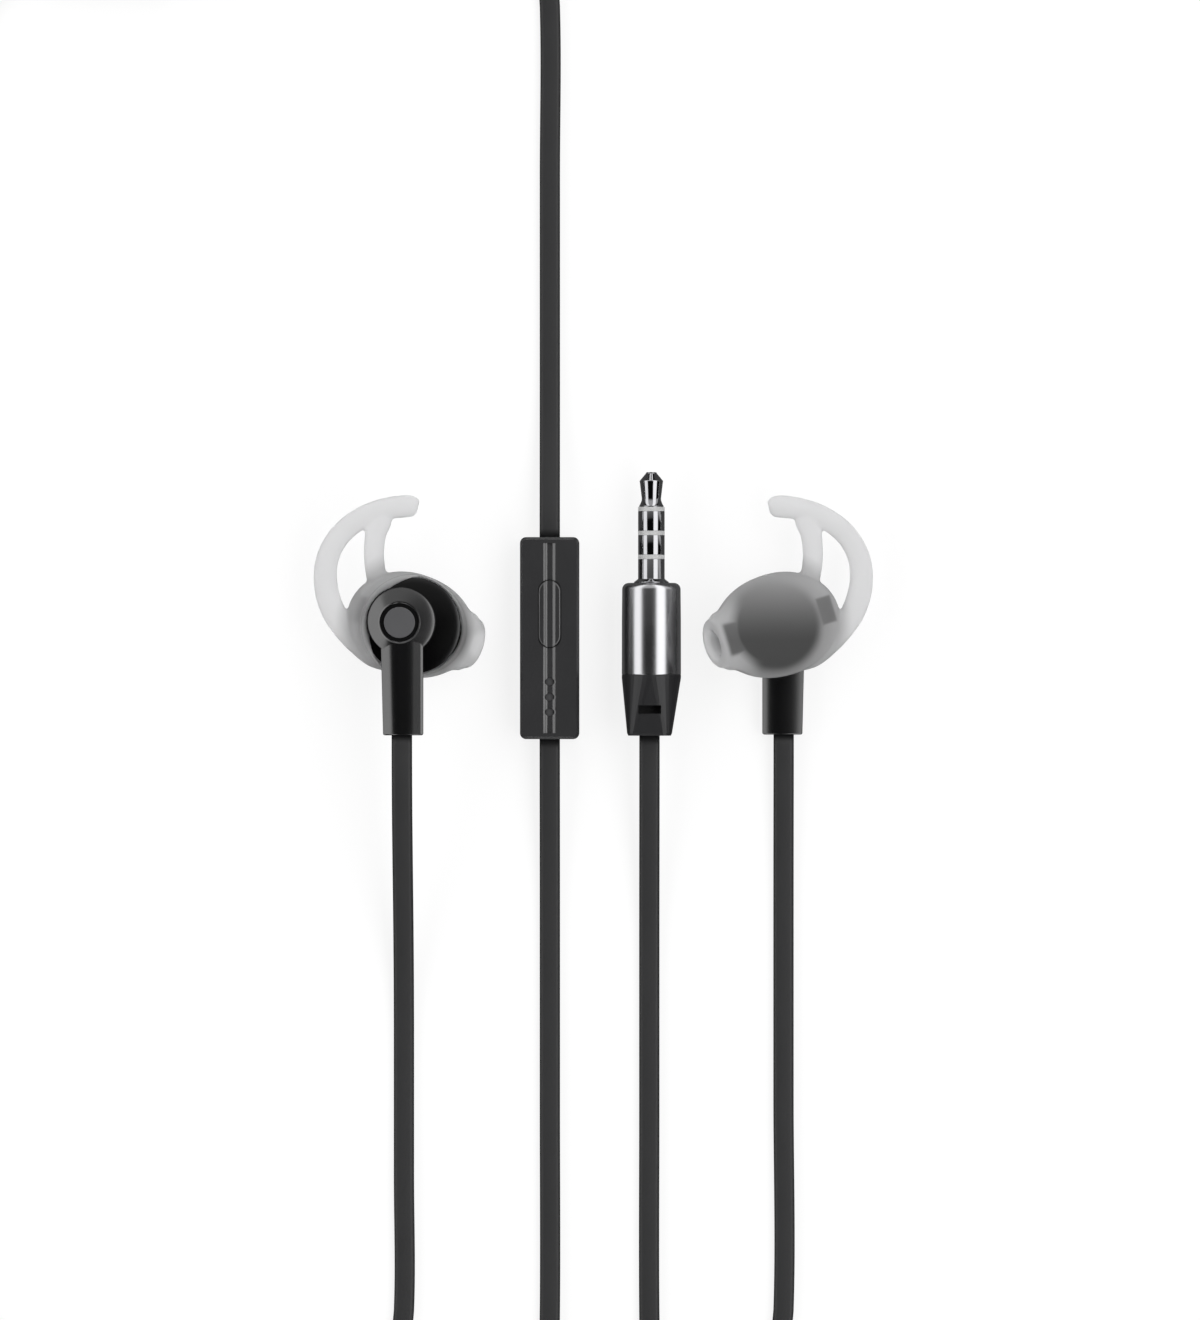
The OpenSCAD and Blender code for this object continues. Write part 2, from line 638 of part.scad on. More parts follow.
// Heights of the contacts along the shaft, from the barrel's face.
function band_z(k) = ground_end + (k - 1) * (contact + band);
module tube(r_out, r_in, z0, z1) {
  translate([0, 0, z0]) difference() {
    cylinder(r = r_out, h = z1 - z0);
    translate([0, 0, -1]) cylinder(r = r_in, h = z1 - z0 + 2);
  }
}
module plug_tip() {
  color(steel) at_plug() rotate_extrude() polygon([
    [0, -2], [core_r, -2], [core_r, tip_base], [jack_r, tip_base], [jack_r, tip_base + 0.25],
    [jack_r - 0.45, tip_base + 0.6], [jack_r - 0.45, tip_base + 0.9], [jack_r - 0.2, jack_l - 1.2],
    [jack_r - 0.3, jack_l - 1], [0.6, jack_l - 0.05], [0.45, jack_l], [0, jack_l]]);
}
module plug_ring_1() {
  color(steel) at_plug() tube(jack_r, liner_r, band_z(2) + band, band_z(3));
}
module plug_ring_2() {
  color(steel) at_plug() tube(jack_r, liner_r, band_z(1) + band, band_z(2));
}
module plug_ground() {
  color(steel) at_plug() difference() {
    rotate_extrude() polygon([[liner_r, -2], [2, -2], [2, 0], [2.3, 0], [2.3, 0.15],
      [jack_r + 0.1, collar_h], [jack_r, collar_h + 0.1], [jack_r, ground_end], [liner_r, ground_end]]);
  }
}
module plug_insulator() {
  color([0.75, 0.75, 0.74]) at_plug() union() {
    tube(liner_r, core_r, -2, tip_base);
    for (k = [1:3]) tube(jack_r, core_r, band_z(k), band_z(k) + band);
  }
}
barrel_r = barrel_d / 2;
barrel_in = barrel_r - barrel_wall;
module plug_barrel() {
  round = 0.9;
  color(steel) at_plug() difference() {
    rotate_extrude() polygon(concat([[0, -barrel_l], [barrel_r, -barrel_l], [barrel_r - 0.05, -round]],
      [for (a = [15:15:90]) [barrel_r - 0.05 - round + round * cos(a), -round + round * sin(a)]], [[0, 0]]));
    translate([0, 0, -barrel_l - 1]) cylinder(r = barrel_in, h = barrel_l + 1 - 0.6);
    translate([0, 0, -1]) cylinder(r = 2.02, h = 2);
  }
}
module plug_core() {
  color(dark) at_plug() difference() {
    translate([0, 0, -barrel_l + 0.3]) cylinder(r = barrel_in - 0.03, h = barrel_l - 0.3 - 0.62);
    translate([0, 0, -2.02]) cylinder(r = 2.02, h = 3);
  }
}
relief_lean = -0.25;
module plug_relief() {
  // The relief tapers from the barrel to the cord, rounder at the barrel and flatter at the end.
  color(black) at_plug() difference() {
    hull() {
      translate([0, 0, -barrel_l - 0.4]) cylinder(r = barrel_r, h = 0.4, $fn = 40);
      translate([relief_lean, 0, -barrel_l - relief_l])
        for (x = [-1, 1]) for (y = [-1, 1])
          translate([x * (relief_end_w / 2 - 1.2), y * (relief_end_w / 2 - 1.5), 0])
            cylinder(r1 = 1.05, r2 = 1.2, h = 0.3, $fn = 16);
    }
    for (side = [0, 1]) mirror([0, side, 0])
      translate([relief_lean - slot_w / 2, cord_t / 2 + 0.35, -barrel_l - relief_l / 2 - slot_h])
        cube([slot_w, barrel_r, slot_h]);
  }
}

// ---------------------------------------------------------------- splitter
split_x = -62.5;
split_y = 86.1;
split_z = split_t / 2;
split_left = split_x - split_l / 2;
split_right = split_x + split_l / 2;
branch_gap = cord_w / 2 + 0.2;
module at_split() { translate([split_x, split_y, 0]) rotate([0, 0, 90]) children(); }
module splitter_half(upper) {
  color(black) at_split() difference() {
    intersection() {
      slab(split_w, split_l, split_t, 0.6, 0.6);
      translate([-10, -20, upper ? split_t / 2 : -1]) cube([20, 40, split_t / 2 + (upper ? 2 : 1)]);
    }
    translate([0, 0, split_t / 2]) cube([split_w - 1.8, split_l - 4, 1.4], center = true);
  }
}
module splitter_upper() { splitter_half(true); }
module splitter_lower() { splitter_half(false); }
module splitter_joint() {
  color(brass) at_split() translate([0, 0, split_z])
    cube([split_w - 1.9, split_l - 4.1, 1.35], center = true);
}

// ---------------------------------------------------------------- cords
// A route is a list of points: x, y, z and the roll of the flat section. Its ends are tied to the
// pieces that it joins; the points between are laid by hand.
coil_mid = [0.6, -121.2];
coil_out = 15.7;
coil_left = coil_mid[0] - coil_out;
coil_right = coil_mid[0] + coil_out;
coil_low = 1.9;
coil_high = 5.3;
left_x = -bud_spacing / 2;
left_z = bud_depth + stem_mid_z;
right_x = bud_spacing / 2;
right_z = cap_top - stem_mid_z;
lay = cord_t / 2 + 0.05;
lane_in = -98.7;
lane_out = -102.2;
side_in = -81.6;
side_out = -85;
over = lay + cord_t + 0.35;
route_left = [
  [left_x, stem_end_y, left_z, 0], [left_x, stem_end_y - 4, left_z - 0.2, 0],
  [left_x, -26, left_z * 0.87, 0], [left_x, -33, left_z * 0.62, 0], [left_x, -40, left_z * 0.35, 0],
  [left_x, -47, left_z * 0.15, 0], [left_x, -55, lay, 0], [left_x, -74, lay, 0],
  [left_x, -92, lay, 0], [left_x - 0.9, -95.8, lay, 0], [left_x - 3.6, -98, lay, 0],
  [left_x - 8, lane_in, lay, 0], [-52, lane_in, lay, 0], [-72, lane_in, lay, 0],
  [-77.2, -97.8, lay, 0], [-80.6, -94.8, lay, 0], [side_in, -90, lay, 0], [side_in, -40, lay, 0],
  [side_in, 20, lay, 0], [side_in, 75, lay, 0], [-80.8, 80.2, 0.7, 0], [-78, 83.6, 1, 0],
  [-74, split_y - branch_gap, split_z - 0.1, 0], [split_left, split_y - branch_gap, split_z, 0]];
route_right = [
  [right_x, stem_end_y, right_z, 0], [right_x, stem_end_y - 4, right_z - 0.05, 0],
  [right_x, -28, 0.9, 0], [right_x, -38, lay, 0], [right_x, -64, lay, 0], [right_x, -92, lay, 0],
  [right_x - 1.1, -96.6, lay, 0], [right_x - 4.5, -100.4, 0.7, 0], [16.5, -102, 1.2, 0],
  [12, lane_out, over, 0], [2, lane_out, over + 0.1, 0], [-10.4, lane_out, over, 0],
  [-15.5, lane_out, 1.1, 0], [-21, lane_out, lay, 0], [-44, lane_out, lay, 0],
  [-75, lane_out, lay, 0], [-80.4, -101.2, lay, 0], [-84, -97.6, lay, 0], [side_out, -92, lay, 0],
  [side_out, -40, lay, 0], [side_out, 20, lay, 0], [side_out, 77, lay, 0], [-83.8, 83, 0.7, 0],
  [-80, 86.8, 1, 0], [-75, split_y + branch_gap, split_z - 0.1, 0],
  [split_left, split_y + branch_gap, split_z, 0]];
remote_top_y = remote_y + remote_l / 2;
remote_end_y = remote_y - remote_l / 2;
route_common = [
  [split_right, split_y, split_z, 0], [split_right + 4, split_y, split_z - 0.1, 0],
  [-44, 86.3, 0.7, 0], [-34, 86.9, lay, 0], [-22, 87.9, lay, 0], [remote_x - 9, 88, lay, 0],
  [remote_x - 3.8, 87, lay, 0], [remote_x - 0.8, 84.4, lay, 0], [remote_x, 80.5, lay, 0],
  [remote_x, 58, lay, 0], [remote_x, 34, lay, 0], [remote_x, 26, 0.9, 0], [remote_x, 19, 1.7, 0],
  [remote_x, remote_top_y + 3.5, remote_mid_z - 0.1, 0], [remote_x, remote_top_y, remote_mid_z, 0]];
route_remote_tail = [
  [remote_x, remote_end_y, remote_mid_z, 0], [remote_x, remote_end_y - 4, remote_mid_z - 0.1, 0],
  [remote_x, -27, 1.7, 0], [remote_x, -34, 0.9, 0], [remote_x, -42, lay, 0], [remote_x, -66, lay, 0],
  [remote_x, -92, lay, 0], [remote_x - 0.3, -98, lay, 0], [remote_x - 1.5, -103, lay, 0],
  [-9.7, -107.6, 0.8, 20], [-12.3, -112, 1.3, 50], [-14.4, -116.4, 1.8, 80],
  [coil_left, -120, coil_low, 90], [coil_left, coil_mid[1], coil_low, 90]];
tail_x = plug_x + relief_lean;
plug_end_y = plug_y - barrel_l - relief_l;
route_plug_tail = [
  [tail_x, plug_end_y, plug_z, 0], [tail_x, plug_end_y - 4, plug_z - 0.1, 0],
  [tail_x, -27, plug_z * 0.7, 0], [tail_x, -35, plug_z * 0.36, 0], [tail_x, -43, 0.7, 0],
  [tail_x, -66, lay, 0], [tail_x, -92, lay, 0], [tail_x + 0.3, -98, lay, 0],
  [tail_x + 1.4, -103, lay, 0], [11, -107.6, 1.2, 20], [13.6, -112, 2.6, 50], [15.6, -116.4, 4.5, 80],
  [coil_right, -120, coil_high - 0.1, 90], [coil_right, coil_mid[1], coil_high, 90]];

function unit(v) = v / norm(v);
function place_of(p) = [p[0], p[1], p[2]];
// Direction of the route at point i, and the width direction of its flat section there.
function heading(r, i) =
  let (a = place_of(r[max(i - 1, 0)]), b = place_of(r[min(i + 1, len(r) - 1)])) unit(b - a);
function flat_ring_at(p, dir, roll, sides) =
  let (level = unit(cross(dir, [0, 0, 1])), up = cross(level, dir),
       wide = level * cos(roll) + up * sin(roll), thin = cross(wide, dir))
  [for (k = [0:sides - 1]) let (a = 360 * (k + 0.5) / sides, f = 1 / cos(180 / sides))
    p + wide * (cord_w / 2 * f * cos(a)) * section_fill(sides) + thin * (cord_t / 2 * f * sin(a))];
function section_fill(sides) = sides == 6 ? 0.866 : 1;
// The two ends of a cord are square to what they meet, so their direction has no rise.
function end_dir(r, i) =
  let (d = place_of(r[i + 1]) - place_of(r[i]))
  abs(d[0]) > abs(d[1]) ? [sign(d[0]), 0, 0] : [0, sign(d[1]), 0];
function cord_dir(r, i) =
  i == 0 ? end_dir(r, 0) : i == len(r) - 1 ? end_dir(r, len(r) - 2) : heading(r, i);
module cord(route) {
  color(dark) loft([for (i = [0:len(route) - 1])
    flat_ring_at(place_of(route[i]), cord_dir(route, i), route[i][3], 8)]);
}

module cord_left() { cord(route_left); }
module cord_right() { cord(route_right); }
module cord_common() { cord(route_common); }
module cord_remote_tail() { cord(route_remote_tail); }
module cord_plug_tail() { cord(route_plug_tail); }

// Coil: the cord on edge winds inwards low down, climbs in half a turn and winds outwards on top.
coil_pitch = 1.6;
coil_turns = 2.25;
coil_dip = 1.7;
coil_rings = 24;
coil_total = 2 * coil_turns + 1;
function coil_radius(t) =
  t < coil_turns ? coil_out - coil_pitch * t
  : t < coil_turns + 1
    ? coil_out - coil_pitch * coil_turns - coil_dip * sin(180 * (t - coil_turns))
    : coil_out - coil_pitch * (coil_total - t);
function coil_height(t) =
  coil_low + (coil_high - coil_low) * ease(min(max((t - coil_turns - 0.15) / 0.7, 0), 1));
function coil_point(t) =
  let (a = 180 + 360 * t, r = coil_radius(t))
  [coil_mid[0] + r * cos(a), coil_mid[1] + r * sin(a), coil_height(t)];
coil_n = round(coil_total * coil_rings);
coil_path = [for (i = [0:coil_n]) coil_point(i / coil_rings)];
function coil_dir(i) =
  i == 0 ? [0, -1, 0] : i == coil_n ? [0, 1, 0] : unit(coil_path[i + 1] - coil_path[i - 1]);
module cord_coil() {
  color(dark) loft([for (i = [0:coil_n]) flat_ring_at(coil_path[i], coil_dir(i), 90, 6)]);
}
// Least gap of the coil to itself: radially between turns of a layer, or between the two layers.
coil_gaps = [for (i = [0:coil_n]) for (j = [i + coil_rings / 2:1:coil_n])
  let (d = coil_path[i] - coil_path[j], flat_gap = norm([d[0], d[1]]) - cord_t, rise = abs(d[2]) - cord_w)
  max(flat_gap, rise)];
echo(least_coil_gap_mm = min(coil_gaps));

// Tie: a band round all the turns of the coil.
tie_w = 3;
tie_t = 0.45;
tie_angle = -60;
module coil_tie() {
  r_in = coil_out - coil_pitch * coil_turns - coil_dip - cord_t / 2 - 0.3;
  r_out = coil_out + cord_t / 2 + 0.3;
  top = coil_high + cord_w / 2 + 0.1;
  color(black) translate([coil_mid[0], coil_mid[1], 0]) rotate([0, 0, tie_angle]) difference() {
    translate([r_in - tie_t, -tie_w / 2, 0]) cube([r_out - r_in + 2 * tie_t, tie_w, top + tie_t]);
    translate([r_in, -tie_w, tie_t]) cube([r_out - r_in, 2 * tie_w, top - tie_t]);
  }
}

place("left") rear_shell();  // left_rear_shell
place("left") front_shell();  // left_front_shell
place("left") cap();  // left_cap
place("left") stem_back();  // left_stem_back
place("left") badge();  // left_badge
place("left") driver_basket();  // left_driver_basket
place("left") driver_magnet();  // left_driver_magnet
place("left") diaphragm();  // left_diaphragm
place("left") voice_coil();  // left_voice_coil
place("left") nozzle_mesh();  // left_nozzle_mesh
place("left") wires();  // left_wires
place("left") cord_gland();  // left_cord_gland
place("left") ear_sleeve();  // left_ear_sleeve
place("right") rear_shell();  // right_rear_shell
place("right") front_shell();  // right_front_shell
place("right") cap();  // right_cap
place("right") stem_back();  // right_stem_back
place("right") badge();  // right_badge
place("right") driver_basket();  // right_driver_basket
place("right") driver_magnet();  // right_driver_magnet
place("right") diaphragm();  // right_diaphragm
place("right") voice_coil();  // right_voice_coil
place("right") nozzle_mesh();  // right_nozzle_mesh
place("right") wires();  // right_wires
place("right") cord_gland();  // right_cord_gland
place("right") ear_sleeve();  // right_ear_sleeve
remote_upper_shell();
remote_lower_shell();
remote_button();
remote_board();
remote_switch();
remote_microphone();
remote_gasket();
remote_glands();
plug_tip();
plug_ring_1();
plug_ring_2();
plug_ground();
plug_insulator();
plug_core();
plug_barrel();
plug_relief();
splitter_upper();
splitter_lower();
splitter_joint();
cord_left();
cord_right();
cord_common();
cord_remote_tail();
cord_coil();
cord_plug_tail();
coil_tie();
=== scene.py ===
# %% [markdown]
# # Wired earphones with silicone wings
# A pair of in-ear earphones lies flat on a table: two ear pieces in frosted silicone
# sleeves, a flat cord with an in-line remote, and a four-pole plug with a steel barrel.
# The solid parts arrive as a fixed frame. This lesson gives them their finishes, lays the
# soft cord along its real route, and models anew what the eye rests on: the moulded
# sleeves, the caps and stems, the plug's turned metal and the remote's shell and button.

# %% Load the frame
import math

import bmesh
import bpy
from mathutils import Euler, Matrix, Vector


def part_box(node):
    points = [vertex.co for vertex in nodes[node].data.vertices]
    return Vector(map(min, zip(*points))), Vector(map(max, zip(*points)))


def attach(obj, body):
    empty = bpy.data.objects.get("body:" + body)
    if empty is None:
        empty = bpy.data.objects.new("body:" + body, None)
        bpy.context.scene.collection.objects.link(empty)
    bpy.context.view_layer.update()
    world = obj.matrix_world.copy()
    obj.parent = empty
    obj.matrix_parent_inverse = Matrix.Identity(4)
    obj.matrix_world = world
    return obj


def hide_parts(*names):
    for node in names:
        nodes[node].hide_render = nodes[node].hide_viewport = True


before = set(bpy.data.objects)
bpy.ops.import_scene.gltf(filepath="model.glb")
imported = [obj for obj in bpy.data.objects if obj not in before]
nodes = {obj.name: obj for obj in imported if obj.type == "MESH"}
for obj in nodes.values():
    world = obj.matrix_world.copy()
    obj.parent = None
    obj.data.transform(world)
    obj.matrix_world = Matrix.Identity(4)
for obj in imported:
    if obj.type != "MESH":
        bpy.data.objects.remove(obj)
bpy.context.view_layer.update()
MM = 0.001
SET, PRESSED = "set", "button"


def nothing_selected():
    """Operators act on all that is selected, so each step starts from an empty selection."""
    if bpy.context.mode != "OBJECT":
        bpy.ops.object.mode_set(mode="OBJECT")
    bpy.ops.object.select_all(action="DESELECT")


def select_only(piece):
    """Make one piece the active one and the only one selected."""
    nothing_selected()
    bpy.context.view_layer.objects.active = piece
    piece.select_set(True)


nothing_selected()

# %% [markdown]
# ## The camera
# The set is seen straight from above with a long lens, so that the round parts hardly
# lean. The sensor is fitted by its height, which keeps the framing the same whatever the
# shape of the picture. The distance follows from the height of table that shows.

# %% Look straight down with a long lens
VIEW_MIDDLE = (0.83 * MM, -5.95 * MM)
VIEW_HEIGHT = 173.7 * MM
SHARP_LEVEL = 5 * MM
LENS = 120
SENSOR = 24

camera_data = bpy.data.cameras.new("table_camera")
camera_data.lens = LENS
camera_data.sensor_fit = "VERTICAL"
camera_data.sensor_height = SENSOR
camera_data.clip_start = 0.02
camera = bpy.data.objects.new("table_camera", camera_data)
bpy.context.scene.collection.objects.link(camera)
distance = VIEW_HEIGHT * LENS / SENSOR
camera.location = (*VIEW_MIDDLE, SHARP_LEVEL + distance)
bpy.context.scene.camera = camera
print("camera height", round(distance + SHARP_LEVEL, 3))

# %% [markdown]
# ## The flat cord
# The cord is a flat band of soft rubber, 2.7 mm wide and 1.1 mm thick with round edges. It
# is swept along its route: at each step the band's section is turned to face the way it
# runs, and rolled where the band stands on its edge in the coil. A curve object with a
# profile would do for the straight stretches, but a swept mesh keeps the roll exact.

# %% Numbers shared by the routes
CORD_W = 2.7
CORD_T = 1.1
LAY = CORD_T / 2 + 0.05
BUD_X = 25.1
STEM_END = -15.8
LEFT_Z, RIGHT_Z = (
    sum(corner.z / MM / 2 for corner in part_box(side + "_cord_gland")[:2])
    for side in ("left", "right")
)
REMOTE_X = -5.8
REMOTE_TOP = 10.23
REMOTE_END = -16.37
REMOTE_Z = 2.5
PLUG_Z = 3.9
TAIL_X = 7.35
PLUG_END = -15.9
SPLIT_Y = 86.1
SPLIT_Z = 1.5
SPLIT_LEFT = -70
SPLIT_RIGHT = -55
BRANCH = CORD_W / 2 + 0.2
LANE_IN, LANE_OUT = -98.7, -102.2
SIDE_IN, SIDE_OUT = -81.6, -85
OVER = LAY + CORD_T + 0.35
COIL_MIDDLE = (0.6, -121.2)
COIL_OUT = 15.7
COIL_PITCH = 1.6
COIL_TURNS = 2.25
COIL_LOW, COIL_HIGH = 1.9, 5.3
COIL_DIP = 1.7

# %% Routes in millimetres: x, y, z and roll
left_route = [
    (-BUD_X, STEM_END, LEFT_Z, 0), (-BUD_X, STEM_END - 4, LEFT_Z - 0.2, 0),
    (-BUD_X, -26, LEFT_Z * 0.87, 0), (-BUD_X, -33, LEFT_Z * 0.62, 0),
    (-BUD_X, -40, LEFT_Z * 0.35, 0), (-BUD_X, -47, LEFT_Z * 0.15, 0), (-BUD_X, -55, LAY, 0),
    (-BUD_X, -74, LAY, 0), (-BUD_X, -92, LAY, 0), (-BUD_X - 0.9, -95.8, LAY, 0),
    (-BUD_X - 3.6, -98, LAY, 0), (-BUD_X - 8, LANE_IN, LAY, 0), (-52, LANE_IN, LAY, 0),
    (-72, LANE_IN, LAY, 0), (-77.2, -97.8, LAY, 0), (-80.6, -94.8, LAY, 0),
    (SIDE_IN, -90, LAY, 0), (SIDE_IN, -40, LAY, 0), (SIDE_IN, 20, LAY, 0),
    (SIDE_IN, 75, LAY, 0), (-80.8, 80.2, 0.7, 0), (-78, 83.6, 1, 0),
    (-74, SPLIT_Y - BRANCH, SPLIT_Z - 0.1, 0), (SPLIT_LEFT, SPLIT_Y - BRANCH, SPLIT_Z, 0),
]
right_route = [
    (BUD_X, STEM_END, RIGHT_Z, 0), (BUD_X, STEM_END - 4, RIGHT_Z - 0.05, 0),
    (BUD_X, -28, 0.9, 0), (BUD_X, -38, LAY, 0), (BUD_X, -64, LAY, 0), (BUD_X, -92, LAY, 0),
    (BUD_X - 1.1, -96.6, LAY, 0), (BUD_X - 4.5, -100.4, 0.7, 0), (16.5, -102, 1.2, 0),
    (12, LANE_OUT, OVER, 0), (2, LANE_OUT, OVER + 0.1, 0), (-10.4, LANE_OUT, OVER, 0),
    (-15.5, LANE_OUT, 1.1, 0), (-21, LANE_OUT, LAY, 0), (-44, LANE_OUT, LAY, 0),
    (-75, LANE_OUT, LAY, 0), (-80.4, -101.2, LAY, 0), (-84, -97.6, LAY, 0),
    (SIDE_OUT, -92, LAY, 0), (SIDE_OUT, -40, LAY, 0), (SIDE_OUT, 20, LAY, 0),
    (SIDE_OUT, 77, LAY, 0), (-83.8, 83, 0.7, 0), (-80, 86.8, 1, 0),
    (-75, SPLIT_Y + BRANCH, SPLIT_Z - 0.1, 0), (SPLIT_LEFT, SPLIT_Y + BRANCH, SPLIT_Z, 0),
]
common_route = [
    (SPLIT_RIGHT, SPLIT_Y, SPLIT_Z, 0), (SPLIT_RIGHT + 4, SPLIT_Y, SPLIT_Z - 0.1, 0),
    (-44, 86.3, 0.7, 0), (-34, 86.9, LAY, 0), (-22, 87.9, LAY, 0), (REMOTE_X - 9, 88, LAY, 0),
    (REMOTE_X - 3.8, 87, LAY, 0), (REMOTE_X - 0.8, 84.4, LAY, 0), (REMOTE_X, 80.5, LAY, 0),
    (REMOTE_X, 58, LAY, 0), (REMOTE_X, 34, LAY, 0), (REMOTE_X, 26, 0.9, 0),
    (REMOTE_X, 19, 1.7, 0), (REMOTE_X, REMOTE_TOP + 3.5, REMOTE_Z - 0.1, 0),
    (REMOTE_X, REMOTE_TOP, REMOTE_Z, 0),
]
remote_tail = [
    (REMOTE_X, REMOTE_END, REMOTE_Z, 0), (REMOTE_X, REMOTE_END - 4, REMOTE_Z - 0.1, 0),
    (REMOTE_X, -27, 1.7, 0), (REMOTE_X, -34, 0.9, 0), (REMOTE_X, -42, LAY, 0),
    (REMOTE_X, -66, LAY, 0), (REMOTE_X, -92, LAY, 0), (REMOTE_X - 0.3, -98, LAY, 0),
    (REMOTE_X - 1.5, -103, LAY, 0), (-9.7, -107.6, 0.8, 20), (-12.3, -112, 1.3, 50),
    (-14.4, -116.4, 1.8, 80), (COIL_MIDDLE[0] - COIL_OUT, -120, COIL_LOW, 90),
]
plug_tail = [
    (TAIL_X, PLUG_END, PLUG_Z, 0), (TAIL_X, PLUG_END - 4, PLUG_Z - 0.1, 0),
    (TAIL_X, -27, PLUG_Z * 0.7, 0), (TAIL_X, -35, PLUG_Z * 0.36, 0), (TAIL_X, -43, 0.7, 0),
    (TAIL_X, -66, LAY, 0), (TAIL_X, -92, LAY, 0), (TAIL_X + 0.3, -98, LAY, 0),
    (TAIL_X + 1.4, -103, LAY, 0), (11, -107.6, 1.2, 20), (13.6, -112, 2.6, 50),
    (15.6, -116.4, 4.5, 80), (COIL_MIDDLE[0] + COIL_OUT, -120, COIL_HIGH - 0.1, 90),
]
print("route points", sum(len(route) for route in (
    left_route, right_route, common_route, remote_tail, plug_tail)))

# %% The coil, worked out turn by turn


def held(t):
    """Keep a value between nothing and one."""
    return min(max(t, 0), 1)


def ease(t):
    """Rise from nothing to one with a soft start and a soft end."""
    t = held(t)
    return t * t * (3 - 2 * t)


def coil_point(t):
    """The coil winds inwards low down, climbs in one turn and winds outwards on top."""
    total = 2 * COIL_TURNS + 1
    if t < COIL_TURNS:
        r = COIL_OUT - COIL_PITCH * t
    elif t < COIL_TURNS + 1:
        r = COIL_OUT - COIL_PITCH * COIL_TURNS - COIL_DIP * math.sin(math.pi * (t - COIL_TURNS))
    else:
        r = COIL_OUT - COIL_PITCH * (total - t)
    z = COIL_LOW + (COIL_HIGH - COIL_LOW) * ease((t - COIL_TURNS - 0.15) / 0.7)
    a = math.pi + 2 * math.pi * t
    return (COIL_MIDDLE[0] + r * math.cos(a), COIL_MIDDLE[1] + r * math.sin(a), z, 90)


STEPS_A_TURN = 24
coil_steps = round((2 * COIL_TURNS + 1) * STEPS_A_TURN)
coil_route = [coil_point(i / STEPS_A_TURN) for i in range(coil_steps + 1)]
way_back = [(x, y, z, 180 - roll) for x, y, z, roll in reversed(plug_tail)]
main_route = remote_tail + coil_route + way_back
print("main route points", len(main_route))

# %% Sweep a flat band along a route
SIDES = 20
STEP = 1.6


def smooth_path(route):
    """A smooth curve through the route's points, cut into short even steps."""
    out = []
    for i in range(len(route) - 1):
        a, b, c, d = (Vector(route[min(max(k, 0), len(route) - 1)]) for k in (i - 1, i, i + 1, i + 2))
        if i == 0:
            a = b * 2 - c
        if i == len(route) - 2:
            d = c * 2 - b
        gap = (c.to_3d() - b.to_3d()).length
        before = max((b.to_3d() - a.to_3d()).length, 0.01)
        after = max((d.to_3d() - c.to_3d()).length, 0.01)
        start = (c - a) * gap / (before + gap)
        end = (d - b) * gap / (after + gap)
        parts = max(1, math.ceil(gap / STEP))
        for k in range(parts):
            t = k / parts
            at_b, leaving_b = 2 * t**3 - 3 * t**2 + 1, t**3 - 2 * t**2 + t
            at_c, reaching_c = -2 * t**3 + 3 * t**2, t**3 - t**2
            out.append(b * at_b + start * leaving_b + c * at_c + end * reaching_c)
    out.append(Vector(route[-1]))
    return out


def band_section(n):
    """Points round a flat band with round edges, as (across, through) in millimetres."""
    half, r = CORD_W / 2 - CORD_T / 2, CORD_T / 2
    arc = n // 2 - 1
    out = []
    for side in (1, -1):
        for k in range(arc + 1):
            a = -math.pi / 2 + math.pi * k / arc
            out.append((side * (half + r * math.cos(a)), side * r * math.sin(a)))
    return out


def sweep_band(name, route):
    """The cord along a route, as a piece, with its middle line and its length in metres."""
    path = smooth_path(route)
    points = [p.to_3d() for p in path]
    section = band_section(SIDES)
    bm = bmesh.new()
    rings = []
    last = len(points) - 1
    for i, p in enumerate(points):
        way = (points[min(i + 1, last)] - points[max(i - 1, 0)]).normalized()
        if i in (0, last):
            way.z = 0
            way.normalize()
        level = way.cross(Vector((0, 0, 1))).normalized()
        up = level.cross(way)
        roll = math.radians(path[i][3])
        wide = level * math.cos(roll) + up * math.sin(roll)
        thin = wide.cross(way)
        rings.append([bm.verts.new((p + wide * u + thin * v) * MM) for u, v in section])
    count = len(section)
    for one, two in zip(rings, rings[1:]):
        for k in range(count):
            bm.faces.new((one[k], one[(k + 1) % count], two[(k + 1) % count], two[k]))
    bm.faces.new(rings[0][::-1])
    bm.faces.new(rings[-1])
    bmesh.ops.recalc_face_normals(bm, faces=bm.faces)
    mesh = bpy.data.meshes.new(name)
    bm.to_mesh(mesh)
    bm.free()
    for face in mesh.polygons:
        face.use_smooth = len(face.vertices) == 4
    piece = bpy.data.objects.new(name, mesh)
    bpy.context.scene.collection.objects.link(piece)
    length = sum((b - a).length for a, b in zip(points, points[1:])) * MM
    print(name, "length", round(length, 4), "m,", len(mesh.polygons), "faces")
    return piece, [list(p * MM) for p in points], length


left_cord, left_path, left_length = sweep_band("left_branch_cord", left_route)
right_cord, right_path, right_length = sweep_band("right_branch_cord", right_route)
common_cord, common_path, common_length = sweep_band("common_cord", common_route)
main_cord, main_path, main_length = sweep_band("main_cord", main_route)

for piece in (left_cord, right_cord, common_cord, main_cord):
    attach(piece, SET)
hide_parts("cord_left")
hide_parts("cord_right")
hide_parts("cord_common")
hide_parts("cord_remote_tail", "cord_coil", "cord_plug_tail")
print("cord in all", round(left_length + right_length + common_length + main_length, 3), "m")

